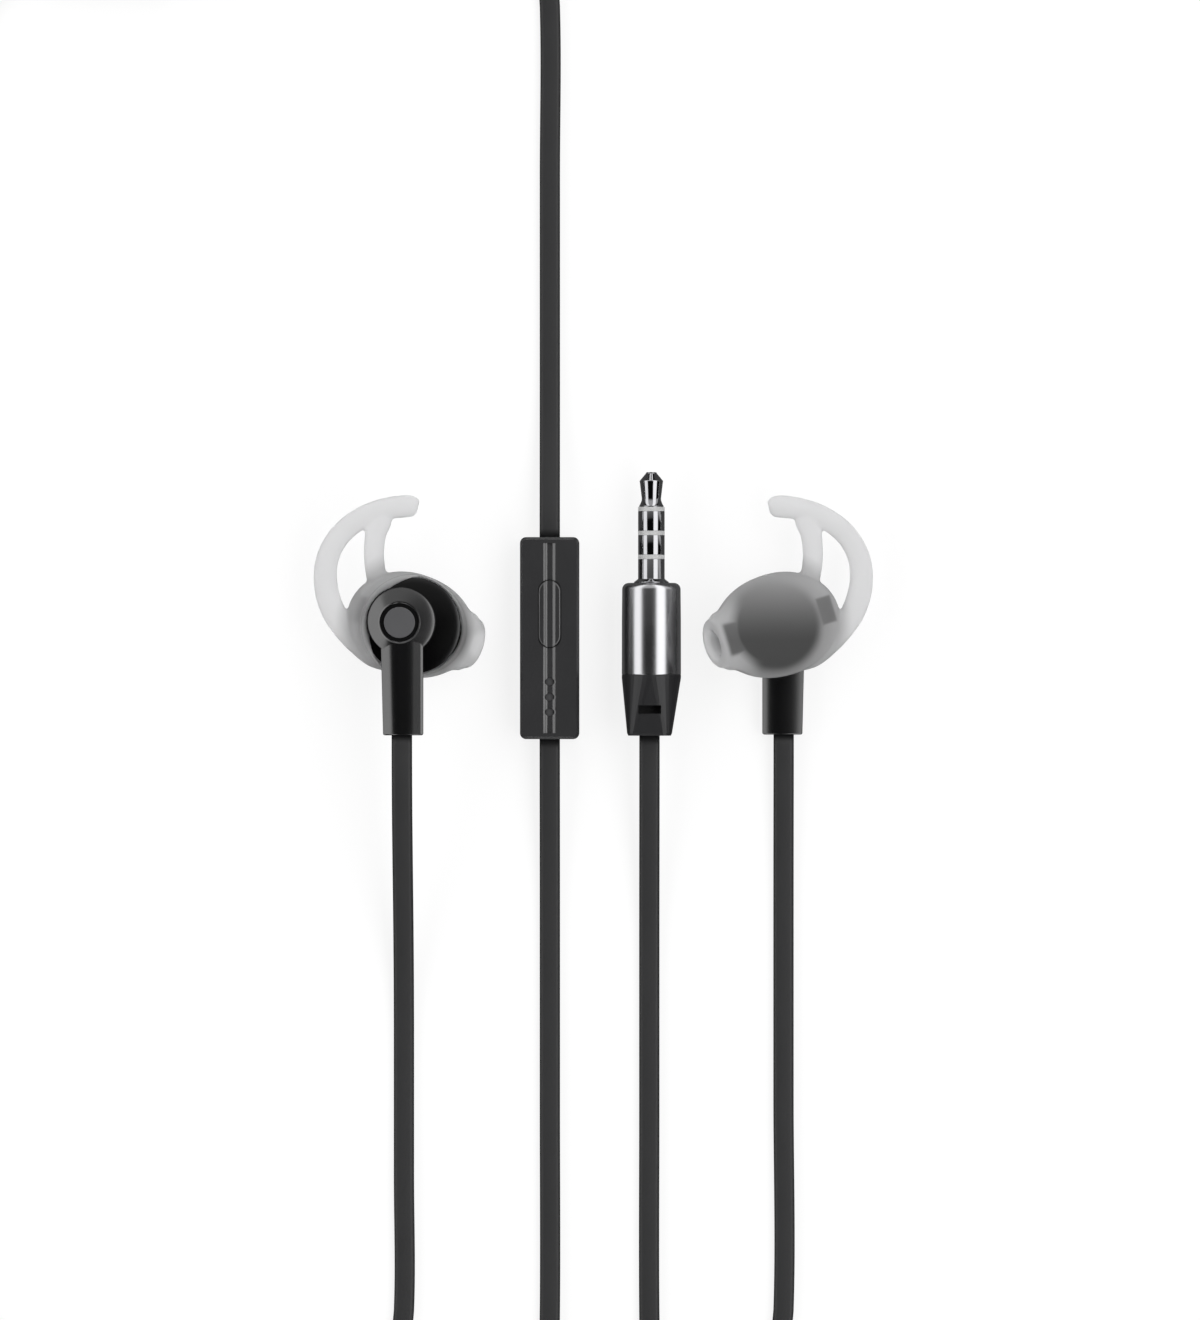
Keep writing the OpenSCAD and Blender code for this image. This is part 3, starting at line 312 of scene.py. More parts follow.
# %% [markdown]
# ## The silicone ear sleeve
# The sleeve is one soft moulding: a hollow body that hugs the housing, a waisted ear tip
# with an oval mouth, a lobe at the heel, and a wing with a strut that braces in the ear.
# The real one is cast in one shot, so its parts run into each other with soft fillets.
# The same happens here: rings are bridged into a body, a wing and a flap, all of it is
# fused by a fine voxel remesh and smoothed, and the housing's room is cut out of it
# afterwards. It could be sculpted too, but rings keep the fit on the housing exact.

# %% Sizes of the ear piece
SHELL_R = 6.3
SHELL_AT = (1.35, -1.45)
SHELL_SKIRT, SHELL_WALL = 2, 0.8
DOME_DEPTH = 5.3
NOZZLE_TILT = math.radians(33)
NOZZLE_TURN = math.radians(17)
NOZZLE_DROP = 0.2
NOZZLE_REACH = 7.4
NOZZLE_D = 3.8
SLEEVE_SIDE = 0.5
SLEEVE_HEEL = 2.55
SLEEVE_UNDER = 0.9
LIP_H = 0.45
MOUTH_S = NOZZLE_REACH + 2.7
MOUTH_W, MOUTH_H = 6.5, 5.2
HOLE_W, HOLE_H = 3.3, 2.4
NECK_SWELL = 0.7
TAB_W, TAB_OUT, TAB_TOP = 3.2, 1.6, -0.5
CAP_TOP = 3.4
HEAD_AT, HEAD_R = (-0.05, -0.9), 4.45
STEM_MID, STEM_HALF = 2.0, 2.8
BUD_DEPTH = LEFT_Z - STEM_MID
RING_SIDES = 64
print("the left ear piece lies", round(BUD_DEPTH, 2), "mm up")

# %% Points and curves in the plane that the nozzle leans in


def along(s):
    """A point down the nozzle's axis: distance from the heel side and height."""
    return Vector((s * math.cos(NOZZLE_TILT), -NOZZLE_DROP - s * math.sin(NOZZLE_TILT)))


def across(h):
    """A step square to the nozzle's axis, in the same two numbers."""
    return Vector((h * math.sin(NOZZLE_TILT), h * math.cos(NOZZLE_TILT)))


def bezier(a, b, c, d, t):
    """A point on the curve that runs from a to d and is drawn towards b and c."""
    a, b, c, d = (Vector(p) for p in (a, b, c, d))
    return a * (1 - t) ** 3 + b * 3 * t * (1 - t) ** 2 + c * 3 * t * t * (1 - t) + d * t**3


# %% Rings in the plane of the nozzle
NECK = along(MOUTH_S - 1.5)


def body_ring(t):
    """Ring of the body between the lip (t = 0) and the neck of the ear tip (t = 1)."""
    heel_u = -SHELL_R - SLEEVE_HEEL
    toe_u = SHELL_R + SLEEVE_SIDE + 0.4
    wide = SHELL_R + SLEEVE_SIDE
    neck_h = MOUTH_H / 2 - 0.15
    neck_w = MOUTH_W / 2 + NECK_SWELL
    low = NECK - across(neck_h)
    high = NECK + across(neck_h)
    heel = bezier((heel_u, -1.4), (heel_u + 0.3, -DOME_DEPTH - SLEEVE_UNDER * 0.6),
                  low - Vector((4.6, -0.1)), low, t)
    toe = bezier((toe_u, -1.2), (toe_u + 0.15, -2.2), high - Vector((0.7, -0.3)), high, t)
    return heel, toe, wide + (neck_w - wide) * ease(t) ** 2.2


def tip_ring(s, w, h):
    """An oval ring square to the nozzle's axis."""
    return along(s) - across(h / 2), along(s) + across(h / 2), w / 2


def housing_ring(t, grow):
    """Ring of the housing's dome, grown by a clearance, for the room inside the sleeve."""
    r = SHELL_R + grow
    rn = NOZZLE_D / 2 + grow
    tip = along(NOZZLE_REACH)
    heel = bezier((-r, -SHELL_SKIRT), (-r * 0.98, -DOME_DEPTH * 0.86 - grow),
                  tip - across(rn) - Vector((5, -0.55)), tip - across(rn), t)
    toe = bezier((r, -SHELL_SKIRT + 0.4), (r, -SHELL_SKIRT + 0.15),
                 tip + across(rn) - Vector((0.6, -0.35)), tip + across(rn), t)
    return heel, toe, r + (rn - r) * ease(t)


def lip_rings():
    """The two rings of the sleeve's upper edge, round the rear shell."""
    heel = -SHELL_R - SLEEVE_HEEL
    side = SHELL_R + SLEEVE_SIDE
    return [
        (Vector((heel + 0.9, LIP_H)), Vector((SHELL_R + 0.6, LIP_H)), side - 0.25),
        (Vector((heel + 0.2, -0.3)), Vector((side + 0.3, -0.3)), side - 0.05),
    ]


BODY_STEPS = 24
outer_rings = lip_rings() + [body_ring(k / BODY_STEPS) for k in range(BODY_STEPS + 1)]
outer_rings += [tip_ring(MOUTH_S - 0.9, MOUTH_W + 0.4, MOUTH_H + 0.1),
                tip_ring(MOUTH_S - 0.35, MOUTH_W + 0.1, MOUTH_H),
                tip_ring(MOUTH_S, MOUTH_W - 0.9, MOUTH_H - 0.9)]
print("outer rings", len(outer_rings))

# %% Bridge rings into a closed solid


def new_piece(name):
    """An empty mesh object, in edit mode, ready for primitives."""
    piece = bpy.data.objects.new(name, bpy.data.meshes.new(name))
    bpy.context.scene.collection.objects.link(piece)
    select_only(piece)
    bpy.ops.object.mode_set(mode="EDIT")
    return piece


def edit_points(piece, first, count):
    """In edit mode, select a run of the mesh's points, counted in the order they were made."""
    bpy.ops.mesh.select_all(action="DESELECT")
    mesh = bmesh.from_edit_mesh(piece.data)
    mesh.verts.ensure_lookup_table()
    for v in mesh.verts[first:first + count]:
        v.select_set(True)
    mesh.select_flush(True)


def bridge_circles(name, circles, sides=RING_SIDES):
    """Each circle is (place, rotation, (half length, half width)); neighbours are bridged."""
    piece = new_piece(name)
    bpy.ops.mesh.select_mode(type="VERT")
    for place, rotation, size in circles:
        bpy.ops.mesh.select_all(action="DESELECT")
        bpy.ops.mesh.primitive_circle_add(vertices=sides, radius=1, location=(0, 0, 0))
        mesh = bmesh.from_edit_mesh(piece.data)
        set_down = Matrix.LocRotScale(Vector(place), Euler(rotation), Vector((*size, 1)))
        bmesh.ops.transform(mesh, matrix=set_down, verts=[v for v in mesh.verts if v.select])
        bmesh.update_edit_mesh(piece.data)
    for k in range(len(circles) - 1):
        edit_points(piece, k * sides, 2 * sides)
        bpy.ops.mesh.bridge_edge_loops()
    for first in (0, (len(circles) - 1) * sides):
        edit_points(piece, first, sides)
        bpy.ops.mesh.edge_face_add()
    bpy.ops.mesh.select_all(action="SELECT")
    bpy.ops.mesh.normals_make_consistent(inside=False)
    bpy.ops.object.mode_set(mode="OBJECT")
    return piece


# %% Set the sleeve's rings in the ear piece and bridge them


def nozzle_circles(rings):
    """Place rings of the nozzle's plane in the ear piece, turned with the nozzle."""
    out = []
    for heel, toe, half in rings:
        mid, reach = (heel + toe) / 2, (toe - heel) / 2
        slope = math.atan2(reach.y, reach.x)
        x, y = mid.x * math.cos(NOZZLE_TURN), -mid.x * math.sin(NOZZLE_TURN)
        place = (SHELL_AT[0] + x, SHELL_AT[1] + y, mid.y)
        out.append((place, (0, -slope, -NOZZLE_TURN), (reach.length, half)))
    return out


sleeve_body = bridge_circles("sleeve_body", nozzle_circles(outer_rings))
print("body faces", len(sleeve_body.data.polygons))

# %% [markdown]
# ## The wing
# A soft wing braces the earphone in the ear: a flat arc that rises from the heel, stiffened
# by a strut. Each could be a curve with a bevel, but its width changes all the way, so
# ovals are set along it, each turned to face the way, and bridged.

# %% The wing and its strut: each stop is x, y, width and thickness
WING_Z = -1.1
arc_stops = [
    (-2.2, -6.75, 1.4, 1.6), (-3.9, -5.7, 2.4, 2.1), (-5.6, -4, 3, 2.2), (-7.4, -2, 3.2, 2.2),
    (-8.95, 0.2, 3.2, 2.2), (-9.85, 2.6, 3.2, 2.2), (-10.15, 5, 3.1, 2.2), (-9.9, 7.2, 3, 2.2),
    (-9.05, 9.25, 2.9, 2.2), (-7.65, 11.05, 2.9, 2.2), (-5.8, 12.45, 2.9, 2.2),
    (-3.9, 13.4, 2.9, 2.2), (-1.8, 14, 2.9, 2.2), (0.4, 14.25, 3.0, 2.2), (1.55, 14.2, 2.6, 1.8),
    (2.05, 14.1, 1.7, 1),
]
strut_stops = [
    (-3.1, 3.5, 3, 1.9), (-3.3, 4.6, 2.8, 1.9), (-3.6, 6, 2.7, 1.9), (-3.75, 7.6, 2.7, 1.9),
    (-3.7, 9.3, 2.75, 1.9), (-3.5, 10.8, 2.9, 1.9), (-3.2, 12, 3.4, 1.9), (-3.1, 13, 3.6, 1.9),
]
WING_PARTS = 4


def through(stops, q):
    """A smooth curve through the stops; q counts the stops."""
    i = min(int(q), len(stops) - 2)
    t = q - i
    a, b, c, d = (Vector(stops[min(max(k, 0), len(stops) - 1)]) for k in range(i - 1, i + 3))
    return 0.5 * (2 * b + (c - a) * t + (2 * a - 5 * b + 4 * c - d) * t * t
                  + (3 * b - a - 3 * c + d) * t**3)


def wing_run(name, stops):
    """Bridge ovals along a row of stops, with a few more set between each two."""
    last = len(stops) - 1
    circles = []
    for k in range(WING_PARTS * last + 1):
        q = k / WING_PARTS
        x, y, wide, thick = through(stops, q)
        way = through(stops, min(q + 0.2, last)) - through(stops, max(q - 0.2, 0))
        turn = math.atan2(way.y, way.x) - math.pi / 2
        circles.append(((x, y, WING_Z), (math.pi / 2, 0, turn), (wide / 2, thick / 2)))
    return bridge_circles(name, circles)


wing = wing_run("wing", arc_stops)
strut = wing_run("strut", strut_stops)
print("wing faces", len(wing.data.polygons), "strut faces", len(strut.data.polygons))

# %% [markdown]
# ## The flap
# On the heel side the sleeve laps over the rear shell's shoulder as a thin flap, which keeps
# it from rolling off. It is the rear shell's own form grown by the flap's thickness, so that
# form is worked out first. Then the flap is trimmed back to leave the shell's face bare.

# %% The rear shell's round form
REAR_TOP, FACE_R, APEX_DOWN, REAR_EDGE = 1.7, 48.0, 2.5, 0.16
FACE_RINGS = 12


def rear_form_circles(grow, low):
    """The rear shell's round form, grown by a thickness, from a low level up over its domed face."""
    def face(r):
        """The face's level at a distance from its middle."""
        return REAR_TOP + grow - r**2 / (2 * FACE_R)

    r = SHELL_R + grow
    inner = r - REAR_EDGE
    levels = [(r, low), (r, face(inner) - REAR_EDGE)]
    for a in (30, 60, 90):
        a = math.radians(a)
        levels.append((inner + REAR_EDGE * math.cos(a), face(inner) - REAR_EDGE * (1 - math.sin(a))))
    circles = [((*SHELL_AT, z), (0, 0, 0), (size, size)) for size, z in levels]
    for k in range(FACE_RINGS - 1, 0, -1):
        down = APEX_DOWN * (1 - k / FACE_RINGS)**2
        size = inner * k / FACE_RINGS
        circles.append(((SHELL_AT[0], SHELL_AT[1] - down, face(size)), (0, 0, 0), (size, size)))
    return circles


print("rear form rings", len(rear_form_circles(0, 0)))

# %% Select by a test and edit what is selected, as by hand


def pick(piece, kind, wanted):
    """Go to edit mode with those points, edges or faces selected that pass the test."""
    select_only(piece)
    bpy.ops.object.mode_set(mode="EDIT")
    bpy.ops.mesh.select_mode(type=kind)
    bpy.ops.mesh.select_all(action="DESELECT")
    bpy.ops.object.mode_set(mode="OBJECT")
    points = piece.data.vertices
    parts = {"VERT": points, "EDGE": piece.data.edges, "FACE": piece.data.polygons}[kind]
    for part in parts:
        ends = [part.co] if kind == "VERT" else [points[i].co for i in part.vertices]
        part.select = wanted(ends)
    bpy.ops.object.mode_set(mode="EDIT")


def done_editing():
    """Leave edit mode, which writes the edits to the mesh."""
    bpy.ops.object.mode_set(mode="OBJECT")


# %% Apply a modifier, and cut one piece with another


def use_modifier(piece, kind, **settings):
    """Add a modifier, set it and apply it, as its panel's Apply button would."""
    select_only(piece)
    modifier = piece.modifiers.new(kind.lower(), kind)
    for name, value in settings.items():
        setattr(modifier, name, value)
    bpy.ops.object.modifier_apply(modifier=modifier.name)


def cut(piece, cutter, keep=False):
    """Take a cutter's form out of a piece; the cutter goes unless it is needed again."""
    use_modifier(piece, "BOOLEAN", operation="DIFFERENCE", object=cutter, solver="EXACT")
    if not keep:
        bpy.data.objects.remove(cutter, do_unlink=True)


# %% Blocks and drums to cut with and to build on


def block(name, low, high):
    """A box between its lowest and its highest corner."""
    nothing_selected()
    low, high = Vector(low), Vector(high)
    bpy.ops.mesh.primitive_cube_add(size=1, location=(low + high) / 2, scale=high - low)
    piece = bpy.context.active_object
    piece.name = name
    bpy.ops.object.transform_apply(location=True, rotation=True, scale=True)
    return piece


def drum(name, centre, radius, low, high, sides=96):
    """An upright cylinder between two levels."""
    nothing_selected()
    bpy.ops.mesh.primitive_cylinder_add(
        vertices=sides, radius=radius, depth=high - low,
        location=(centre[0], centre[1], (low + high) / 2))
    piece = bpy.context.active_object
    piece.name = name
    bpy.ops.object.transform_apply(location=True, rotation=True, scale=True)
    return piece


def turn_to_nozzle(piece):
    """Set a block that was made square to the nozzle in its place on the housing."""
    select_only(piece)
    piece.rotation_euler.z = -NOZZLE_TURN
    piece.location = (*SHELL_AT, 0)
    bpy.ops.object.transform_apply(location=True, rotation=True, scale=True)


# %% The flap, trimmed back from the shell's face and from the stem
FLAP_T, FLAP_DOWN = 0.42, 0.3
TRIM_AT, TRIM_R = (SHELL_AT[0] + 1.64, SHELL_AT[1] - 0.82), 7.25
flap = bridge_circles("flap", rear_form_circles(FLAP_T, LIP_H - FLAP_DOWN))
cut(flap, drum("face_side", TRIM_AT, TRIM_R, -1, 9, 128))
cut(flap, block("stem_side", (-STEM_HALF, -20, -1), (STEM_HALF, 0, 9)))
print("flap faces", len(flap.data.polygons))

# %% [markdown]
# ## One moulding out of four parts
# The four parts only overlap so far. A voxel remesh wraps one even skin round them all, and
# a Smooth modifier then draws the sharp inner corners into soft fillets, much as a mould
# maker would cut them. Booleans and bevels could join them too, but a bevel seldom turns
# out even along the wandering line where the wing meets the body.

# %% Fuse the moulding and give its joints soft fillets
FUSE_VOXEL, SKIN_VOXEL = 0.17, 0.15
nothing_selected()
for piece in (sleeve_body, wing, strut, flap):
    piece.select_set(True)
bpy.context.view_layer.objects.active = sleeve_body
bpy.ops.object.join()
sleeve = sleeve_body
sleeve.name = "sleeve_moulding"
use_modifier(sleeve, "REMESH", mode="VOXEL", voxel_size=FUSE_VOXEL, adaptivity=0)
use_modifier(sleeve, "SMOOTH", factor=0.5, iterations=8)
print("fused faces", len(sleeve.data.polygons))

# %% Cut the housing's room, the tab's pocket and the cap's edge out of it
ROOM, POCKET_FIT, NOZZLE_FIT = 0.12, 0.15, 0.1
under_shell = (Vector((-SHELL_R - ROOM, -SHELL_SKIRT)), Vector((SHELL_R + ROOM, -SHELL_SKIRT)),
               SHELL_R + ROOM)
nozzle_end = NOZZLE_D + 2 * NOZZLE_FIT
room_top = [(place, turn, size) for place, turn, size in reversed(rear_form_circles(ROOM, -1))]
room_below = nozzle_circles(
    [under_shell] + [housing_ring(k / 12, ROOM) for k in range(2, 13)]
    + [tip_ring(NOZZLE_REACH + NOZZLE_FIT, nozzle_end, nozzle_end),
       tip_ring(NOZZLE_REACH + 0.25, HOLE_W, HOLE_H), tip_ring(MOUTH_S - 0.5, HOLE_W, HOLE_H),
       tip_ring(MOUTH_S + 0.3, HOLE_W + 1.2, HOLE_H + 1.2)])
cut(sleeve, bridge_circles("housing_room", room_top + room_below))
tab_room = block(
    "tab_room",
    (-SHELL_R - TAB_OUT - POCKET_FIT, -TAB_W / 2 - POCKET_FIT, -SHELL_SKIRT + POCKET_FIT),
    (-SHELL_R + 1, TAB_W / 2 + POCKET_FIT, TAB_TOP + POCKET_FIT))
turn_to_nozzle(tab_room)
cut(sleeve, tab_room)
cut(sleeve, drum("cap_side", HEAD_AT, HEAD_R + ROOM, LIP_H, 9))
use_modifier(sleeve, "REMESH", mode="VOXEL", voxel_size=SKIN_VOXEL, adaptivity=0)
use_modifier(sleeve, "SMOOTH", factor=0.5, iterations=3)
select_only(sleeve)
bpy.ops.object.shade_smooth()
print("sleeve faces", len(sleeve.data.polygons))

# %% [markdown]
# ## The housing seen through the skin
# Frosted silicone blurs what lies behind it: the black housing shows as a soft dark disc,
# and the nozzle and the key tab show beside it. Real scattering would need far more light
# paths than a still is worth, so each point of the skin is marked with how dark it is to
# look, as an attribute that the material reads later on. The mark follows from the point's
# place beside the housing by a simple rule, with given levels.
# Part of the mark is painted shade: over the housing the skin is drawn lighter on its upper side and
# darker towards its lower side.

# %% How dark the skin looks where the housing, its nozzle or its tab lies close behind, plus a painted shade
BODY_SHADE, TIP_SHADE, TAB_SHADE, NOZZLE_SHADE = 0.34, 0.1, 0.68, 0.85
# Painted shade over the housing: its level on the upper and on the lower side, where it starts and
# how far it runs down.
HIGH_SHADE, LOW_SHADE = 0.25, 0.93
SHADE_TOP, SHADE_RUN = 6, 9.5
nozzle_way = Vector((math.cos(NOZZLE_TURN), -math.sin(NOZZLE_TURN)))


def painted_shade_over_housing(y):
    """Painted shade: over the housing the skin is drawn lighter on its upper side and darker down to
    the lower one.
    """
    down = held((SHADE_TOP - y) / SHADE_RUN)
    return HIGH_SHADE + (LOW_SHADE - HIGH_SHADE) * (1 - (1 - down)**1.5)


def over_tab(along_nozzle, beside):
    """One over the key tab, and nothing a little beyond its edge."""
    beyond = max(abs(along_nozzle + SHELL_R + TAB_OUT / 2) - TAB_OUT / 2, beside - TAB_W / 2)
    return ease(1 - beyond / 0.35)


def close_at_nozzle(gap, along_nozzle, beside, z):
    """Beside the nozzle the silicone is thick, so only the nozzle itself shows dark."""
    rim_side = held(1 - (gap + 0.1) / 2)
    over_nozzle = NOZZLE_SHADE * ease((2.5 - beside) / 0.7) * ease((7 - along_nozzle) / 0.7)
    dome_side = max(held(1 - (gap + 1.5) / 1.4), over_nozzle)
    below = held(-z - NOZZLE_DROP - along_nozzle * math.tan(NOZZLE_TILT))
    return rim_side + (dome_side - rim_side) * below


def painted_skin_shade(x, y, z):
    """Clear out on the wing, dusky on the body, dark over the housing, with painted shade from the
    upper side down.
    """
    from_shell = Vector((x - SHELL_AT[0], y - SHELL_AT[1]))
    gap = from_shell.length - SHELL_R
    along_nozzle = from_shell.dot(nozzle_way)
    beside = abs(from_shell.dot(nozzle_way.orthogonal()))
    body = BODY_SHADE * held(1 - (gap - 2.2) / 1.8)
    close = 0.85 * ease(1 - (gap + 1.1) / 1.6) + 0.15 * held(1 - (gap - 0.5) / 3.2)
    toward = ease((along_nozzle / from_shell.length - 0.5) / 0.35)
    body += (TIP_SHADE - body) * toward
    close += (close_at_nozzle(gap, along_nozzle, beside, z) - close) * toward
    shade = body + (painted_shade_over_housing(y) - body) * close
    tab = over_tab(along_nozzle, beside) if z < -0.4 else 0
    return shade + max(0, TAB_SHADE - shade) * tab


# %% Mark every point of the skin with its painted shade
painted_marks = sleeve.data.attributes.new("painted_shade", "FLOAT", "POINT")
for point in sleeve.data.vertices:
    painted_marks.data[point.index].value = painted_skin_shade(*point.co)
print("marked", len(painted_marks.data), "points")

# %% [markdown]
# ## Left and right
# Both ear pieces are the same moulding: the left one lies with its cap up, and the right one
# is turned over about the line of the cord. So each part is modelled once, and each copy
# gets its own mesh and its place in that mesh.

# %% A left and a right sleeve from the one moulding


def place_bud_piece(master, side):
    """A copy of an ear piece's part, set where the left or the right one lies."""
    piece = master.copy()
    piece.data = master.data.copy()
    piece.name = side + "_" + master.name
    bpy.context.scene.collection.objects.link(piece)
    select_only(piece)
    piece.scale = (MM, MM, MM)
    if side == "left":
        piece.location = (-BUD_X * MM, 0, BUD_DEPTH * MM)
    else:
        piece.rotation_euler.y = math.pi
        piece.location = (BUD_X * MM, 0, CAP_TOP * MM)
    bpy.ops.object.transform_apply(location=True, rotation=True, scale=True)
    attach(piece, SET)
    print(piece.name, len(piece.data.polygons), "faces")
    return piece


for side in ("left", "right"):
    placed = place_bud_piece(sleeve, side)
    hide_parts(side + "_ear_sleeve")
bpy.data.objects.remove(sleeve, do_unlink=True)

# %% [markdown]
# ## Floor
# A pale table top carries the set. It is drawn a little brighter for the eye than a lit
# surface alone, and still keeps a soft shadow. Polished parts would mirror it as one white
# sheet, so in their reflections it is toned down, as black card beside a product does.

# %% Helpers that add shader nodes and join their sockets


def add_node(tree, kind, **options):
    """Add a node of a kind and set its own options."""
    node = tree.nodes.new(kind)
    for option, value in options.items():
        setattr(node, option, value)
    return node


def join_sockets(tree, *pairs):
    """Link each pair's output to its input."""
    for out_socket, in_socket in pairs:
        tree.links.new(out_socket, in_socket)


# %% Lay the floor
FLOOR_GREY, FLOOR_GLOW, FLOOR_IN_MIRRORS = 0.9, 0.82, 0.14
bpy.ops.mesh.primitive_plane_add(size=6, location=(0, 0, -0.05 * MM))
floor = bpy.context.active_object
floor.name = "table_top"
table = bpy.data.materials.new("pale_table")
table.use_nodes = True
tree = table.node_tree
tree.nodes.clear()
matt = add_node(tree, "ShaderNodeBsdfDiffuse")
matt.inputs["Color"].default_value = (FLOOR_GREY, FLOOR_GREY, FLOOR_GREY, 1)
white = add_node(tree, "ShaderNodeEmission")
white.inputs["Strength"].default_value = 1
flagged = add_node(tree, "ShaderNodeEmission")
flagged.inputs["Strength"].default_value = FLOOR_IN_MIRRORS
ray = add_node(tree, "ShaderNodeLightPath")
seen = add_node(tree, "ShaderNodeMath", operation="MAXIMUM")
share = add_node(tree, "ShaderNodeMath", operation="MULTIPLY")
share.inputs[1].default_value = FLOOR_GLOW
brighten = add_node(tree, "ShaderNodeMixShader")
mirrored = add_node(tree, "ShaderNodeMath", operation="SUBTRACT", use_clamp=True)
mirror = add_node(tree, "ShaderNodeMixShader")
surface = add_node(tree, "ShaderNodeOutputMaterial")
join_sockets(
    tree,
    (ray.outputs["Is Camera Ray"], seen.inputs[0]),
    (ray.outputs["Is Transmission Ray"], seen.inputs[1]),
    (seen.outputs[0], share.inputs[0]),
    (share.outputs[0], brighten.inputs["Fac"]),
    (matt.outputs[0], brighten.inputs[1]),
    (white.outputs[0], brighten.inputs[2]),
    (ray.outputs["Is Glossy Ray"], mirrored.inputs[0]),
    (ray.outputs["Is Transmission Ray"], mirrored.inputs[1]),
    (mirrored.outputs[0], mirror.inputs["Fac"]),
    (brighten.outputs[0], mirror.inputs[1]),
    (flagged.outputs[0], mirror.inputs[2]),
    (mirror.outputs[0], surface.inputs["Surface"]),
)
floor.data.materials.append(table)
nothing_selected()
print("floor nodes", len(tree.nodes))

# %% [markdown]
# ## Light
# The light is a studio room drawn in the world's shader: two long soft boxes left and right
# of a dark middle, which draw the two bright bands along polished round metal, and a third
# one at the back over a faint haze, which shades the domed black faces from grey to black.
# Lamps could do it too, but a drawn room shows clean edges in every reflection.

# %% Panels of light, by how far a direction leans over
LEFT_PANEL, RIGHT_PANEL, BACK_PANEL, HAZE, DARK = 2.4, 2.8, 0.95, 0.2, 0.005
PANEL_FADE = 3
scene = bpy.context.scene
scene.view_settings.view_transform = "Standard"
world = bpy.data.worlds.new("studio_room")
scene.world = world
world.use_nodes = True
room = world.node_tree
room.nodes.clear()
where = add_node(room, "ShaderNodeTexCoord")
split = add_node(room, "ShaderNodeSeparateXYZ")
join_sockets(room, (where.outputs["Generated"], split.inputs[0]))


def panel(start, end, level):
    """A lit panel between two angles; its edges fade over a few degrees."""
    return [(start - PANEL_FADE, DARK), (start + PANEL_FADE, level),
            (end - PANEL_FADE, level), (end + PANEL_FADE, DARK)]


def lit_panels(sideways, stops):
    """Light by the angle between straight up and one side; a stop is an angle and a level."""
    lean = add_node(room, "ShaderNodeMath", operation="ARCTAN2")
    turn = add_node(room, "ShaderNodeMapRange")
    turn.inputs["From Min"].default_value = -math.pi / 2
    turn.inputs["From Max"].default_value = math.pi / 2
    bands = add_node(room, "ShaderNodeValToRGB")
    ramp = bands.color_ramp
    ramp.interpolation = "EASE"
    while len(ramp.elements) < len(stops):
        ramp.elements.new(0.5)
    for element, (angle, level) in zip(ramp.elements, stops):
        element.position = (angle + 90) / 180
        element.color = (level, level, level, 1)
    join_sockets(room, (sideways, lean.inputs[0]), (split.outputs["Z"], lean.inputs[1]),
                 (lean.outputs[0], turn.inputs["Value"]), (turn.outputs[0], bands.inputs["Fac"]))
    return bands.outputs["Color"]


left_and_right = lit_panels(
    split.outputs["X"], panel(-72, -39, LEFT_PANEL) + panel(19, 57, RIGHT_PANEL))
at_the_back = lit_panels(
    split.outputs["Y"], [(3, DARK), (9, HAZE)] + panel(32, 76, BACK_PANEL)[1:])
print("panel nodes", len(room.nodes))

# %% Join the panels into a room; the eye itself sees plain white beyond the table
both = add_node(room, "ShaderNodeMix", data_type="RGBA", blend_type="LIGHTEN")
both.inputs[0].default_value = 1
light = add_node(room, "ShaderNodeBackground")
backdrop = add_node(room, "ShaderNodeBackground")
backdrop.inputs["Color"].default_value = (1, 1, 1, 1)
sight = add_node(room, "ShaderNodeLightPath")
plain = add_node(room, "ShaderNodeMath", operation="MAXIMUM")
choose = add_node(room, "ShaderNodeMixShader")
sky = add_node(room, "ShaderNodeOutputWorld")
join_sockets(
    room,
    (left_and_right, both.inputs[6]),
    (at_the_back, both.inputs[7]),
    (both.outputs[2], light.inputs["Color"]),
    (sight.outputs["Is Camera Ray"], plain.inputs[0]),
    (sight.outputs["Is Transmission Ray"], plain.inputs[1]),
    (plain.outputs[0], choose.inputs["Fac"]),
    (light.outputs[0], choose.inputs[1]),
    (backdrop.outputs[0], choose.inputs[2]),
    (choose.outputs[0], sky.inputs["Surface"]),
)
print("room nodes", len(room.nodes))

# %% [markdown]
# ## Finishes
# Every finish is built from one helper: a plain surface shader with fine noise that moves
# the colour and roughness a little and lifts a small bump, because no moulded or turned
# surface is perfectly even. The numbers say how dark, how rough and how grainy it is. The
# noise reads Object coordinates, so it needs no unwrapping and stays with each piece.

# %% A helper for moulded and metal finishes
MOTTLE_SCALE, GRAIN_SCALE, GRAIN_DEPTH = 160, 9000, 0.02 * MM


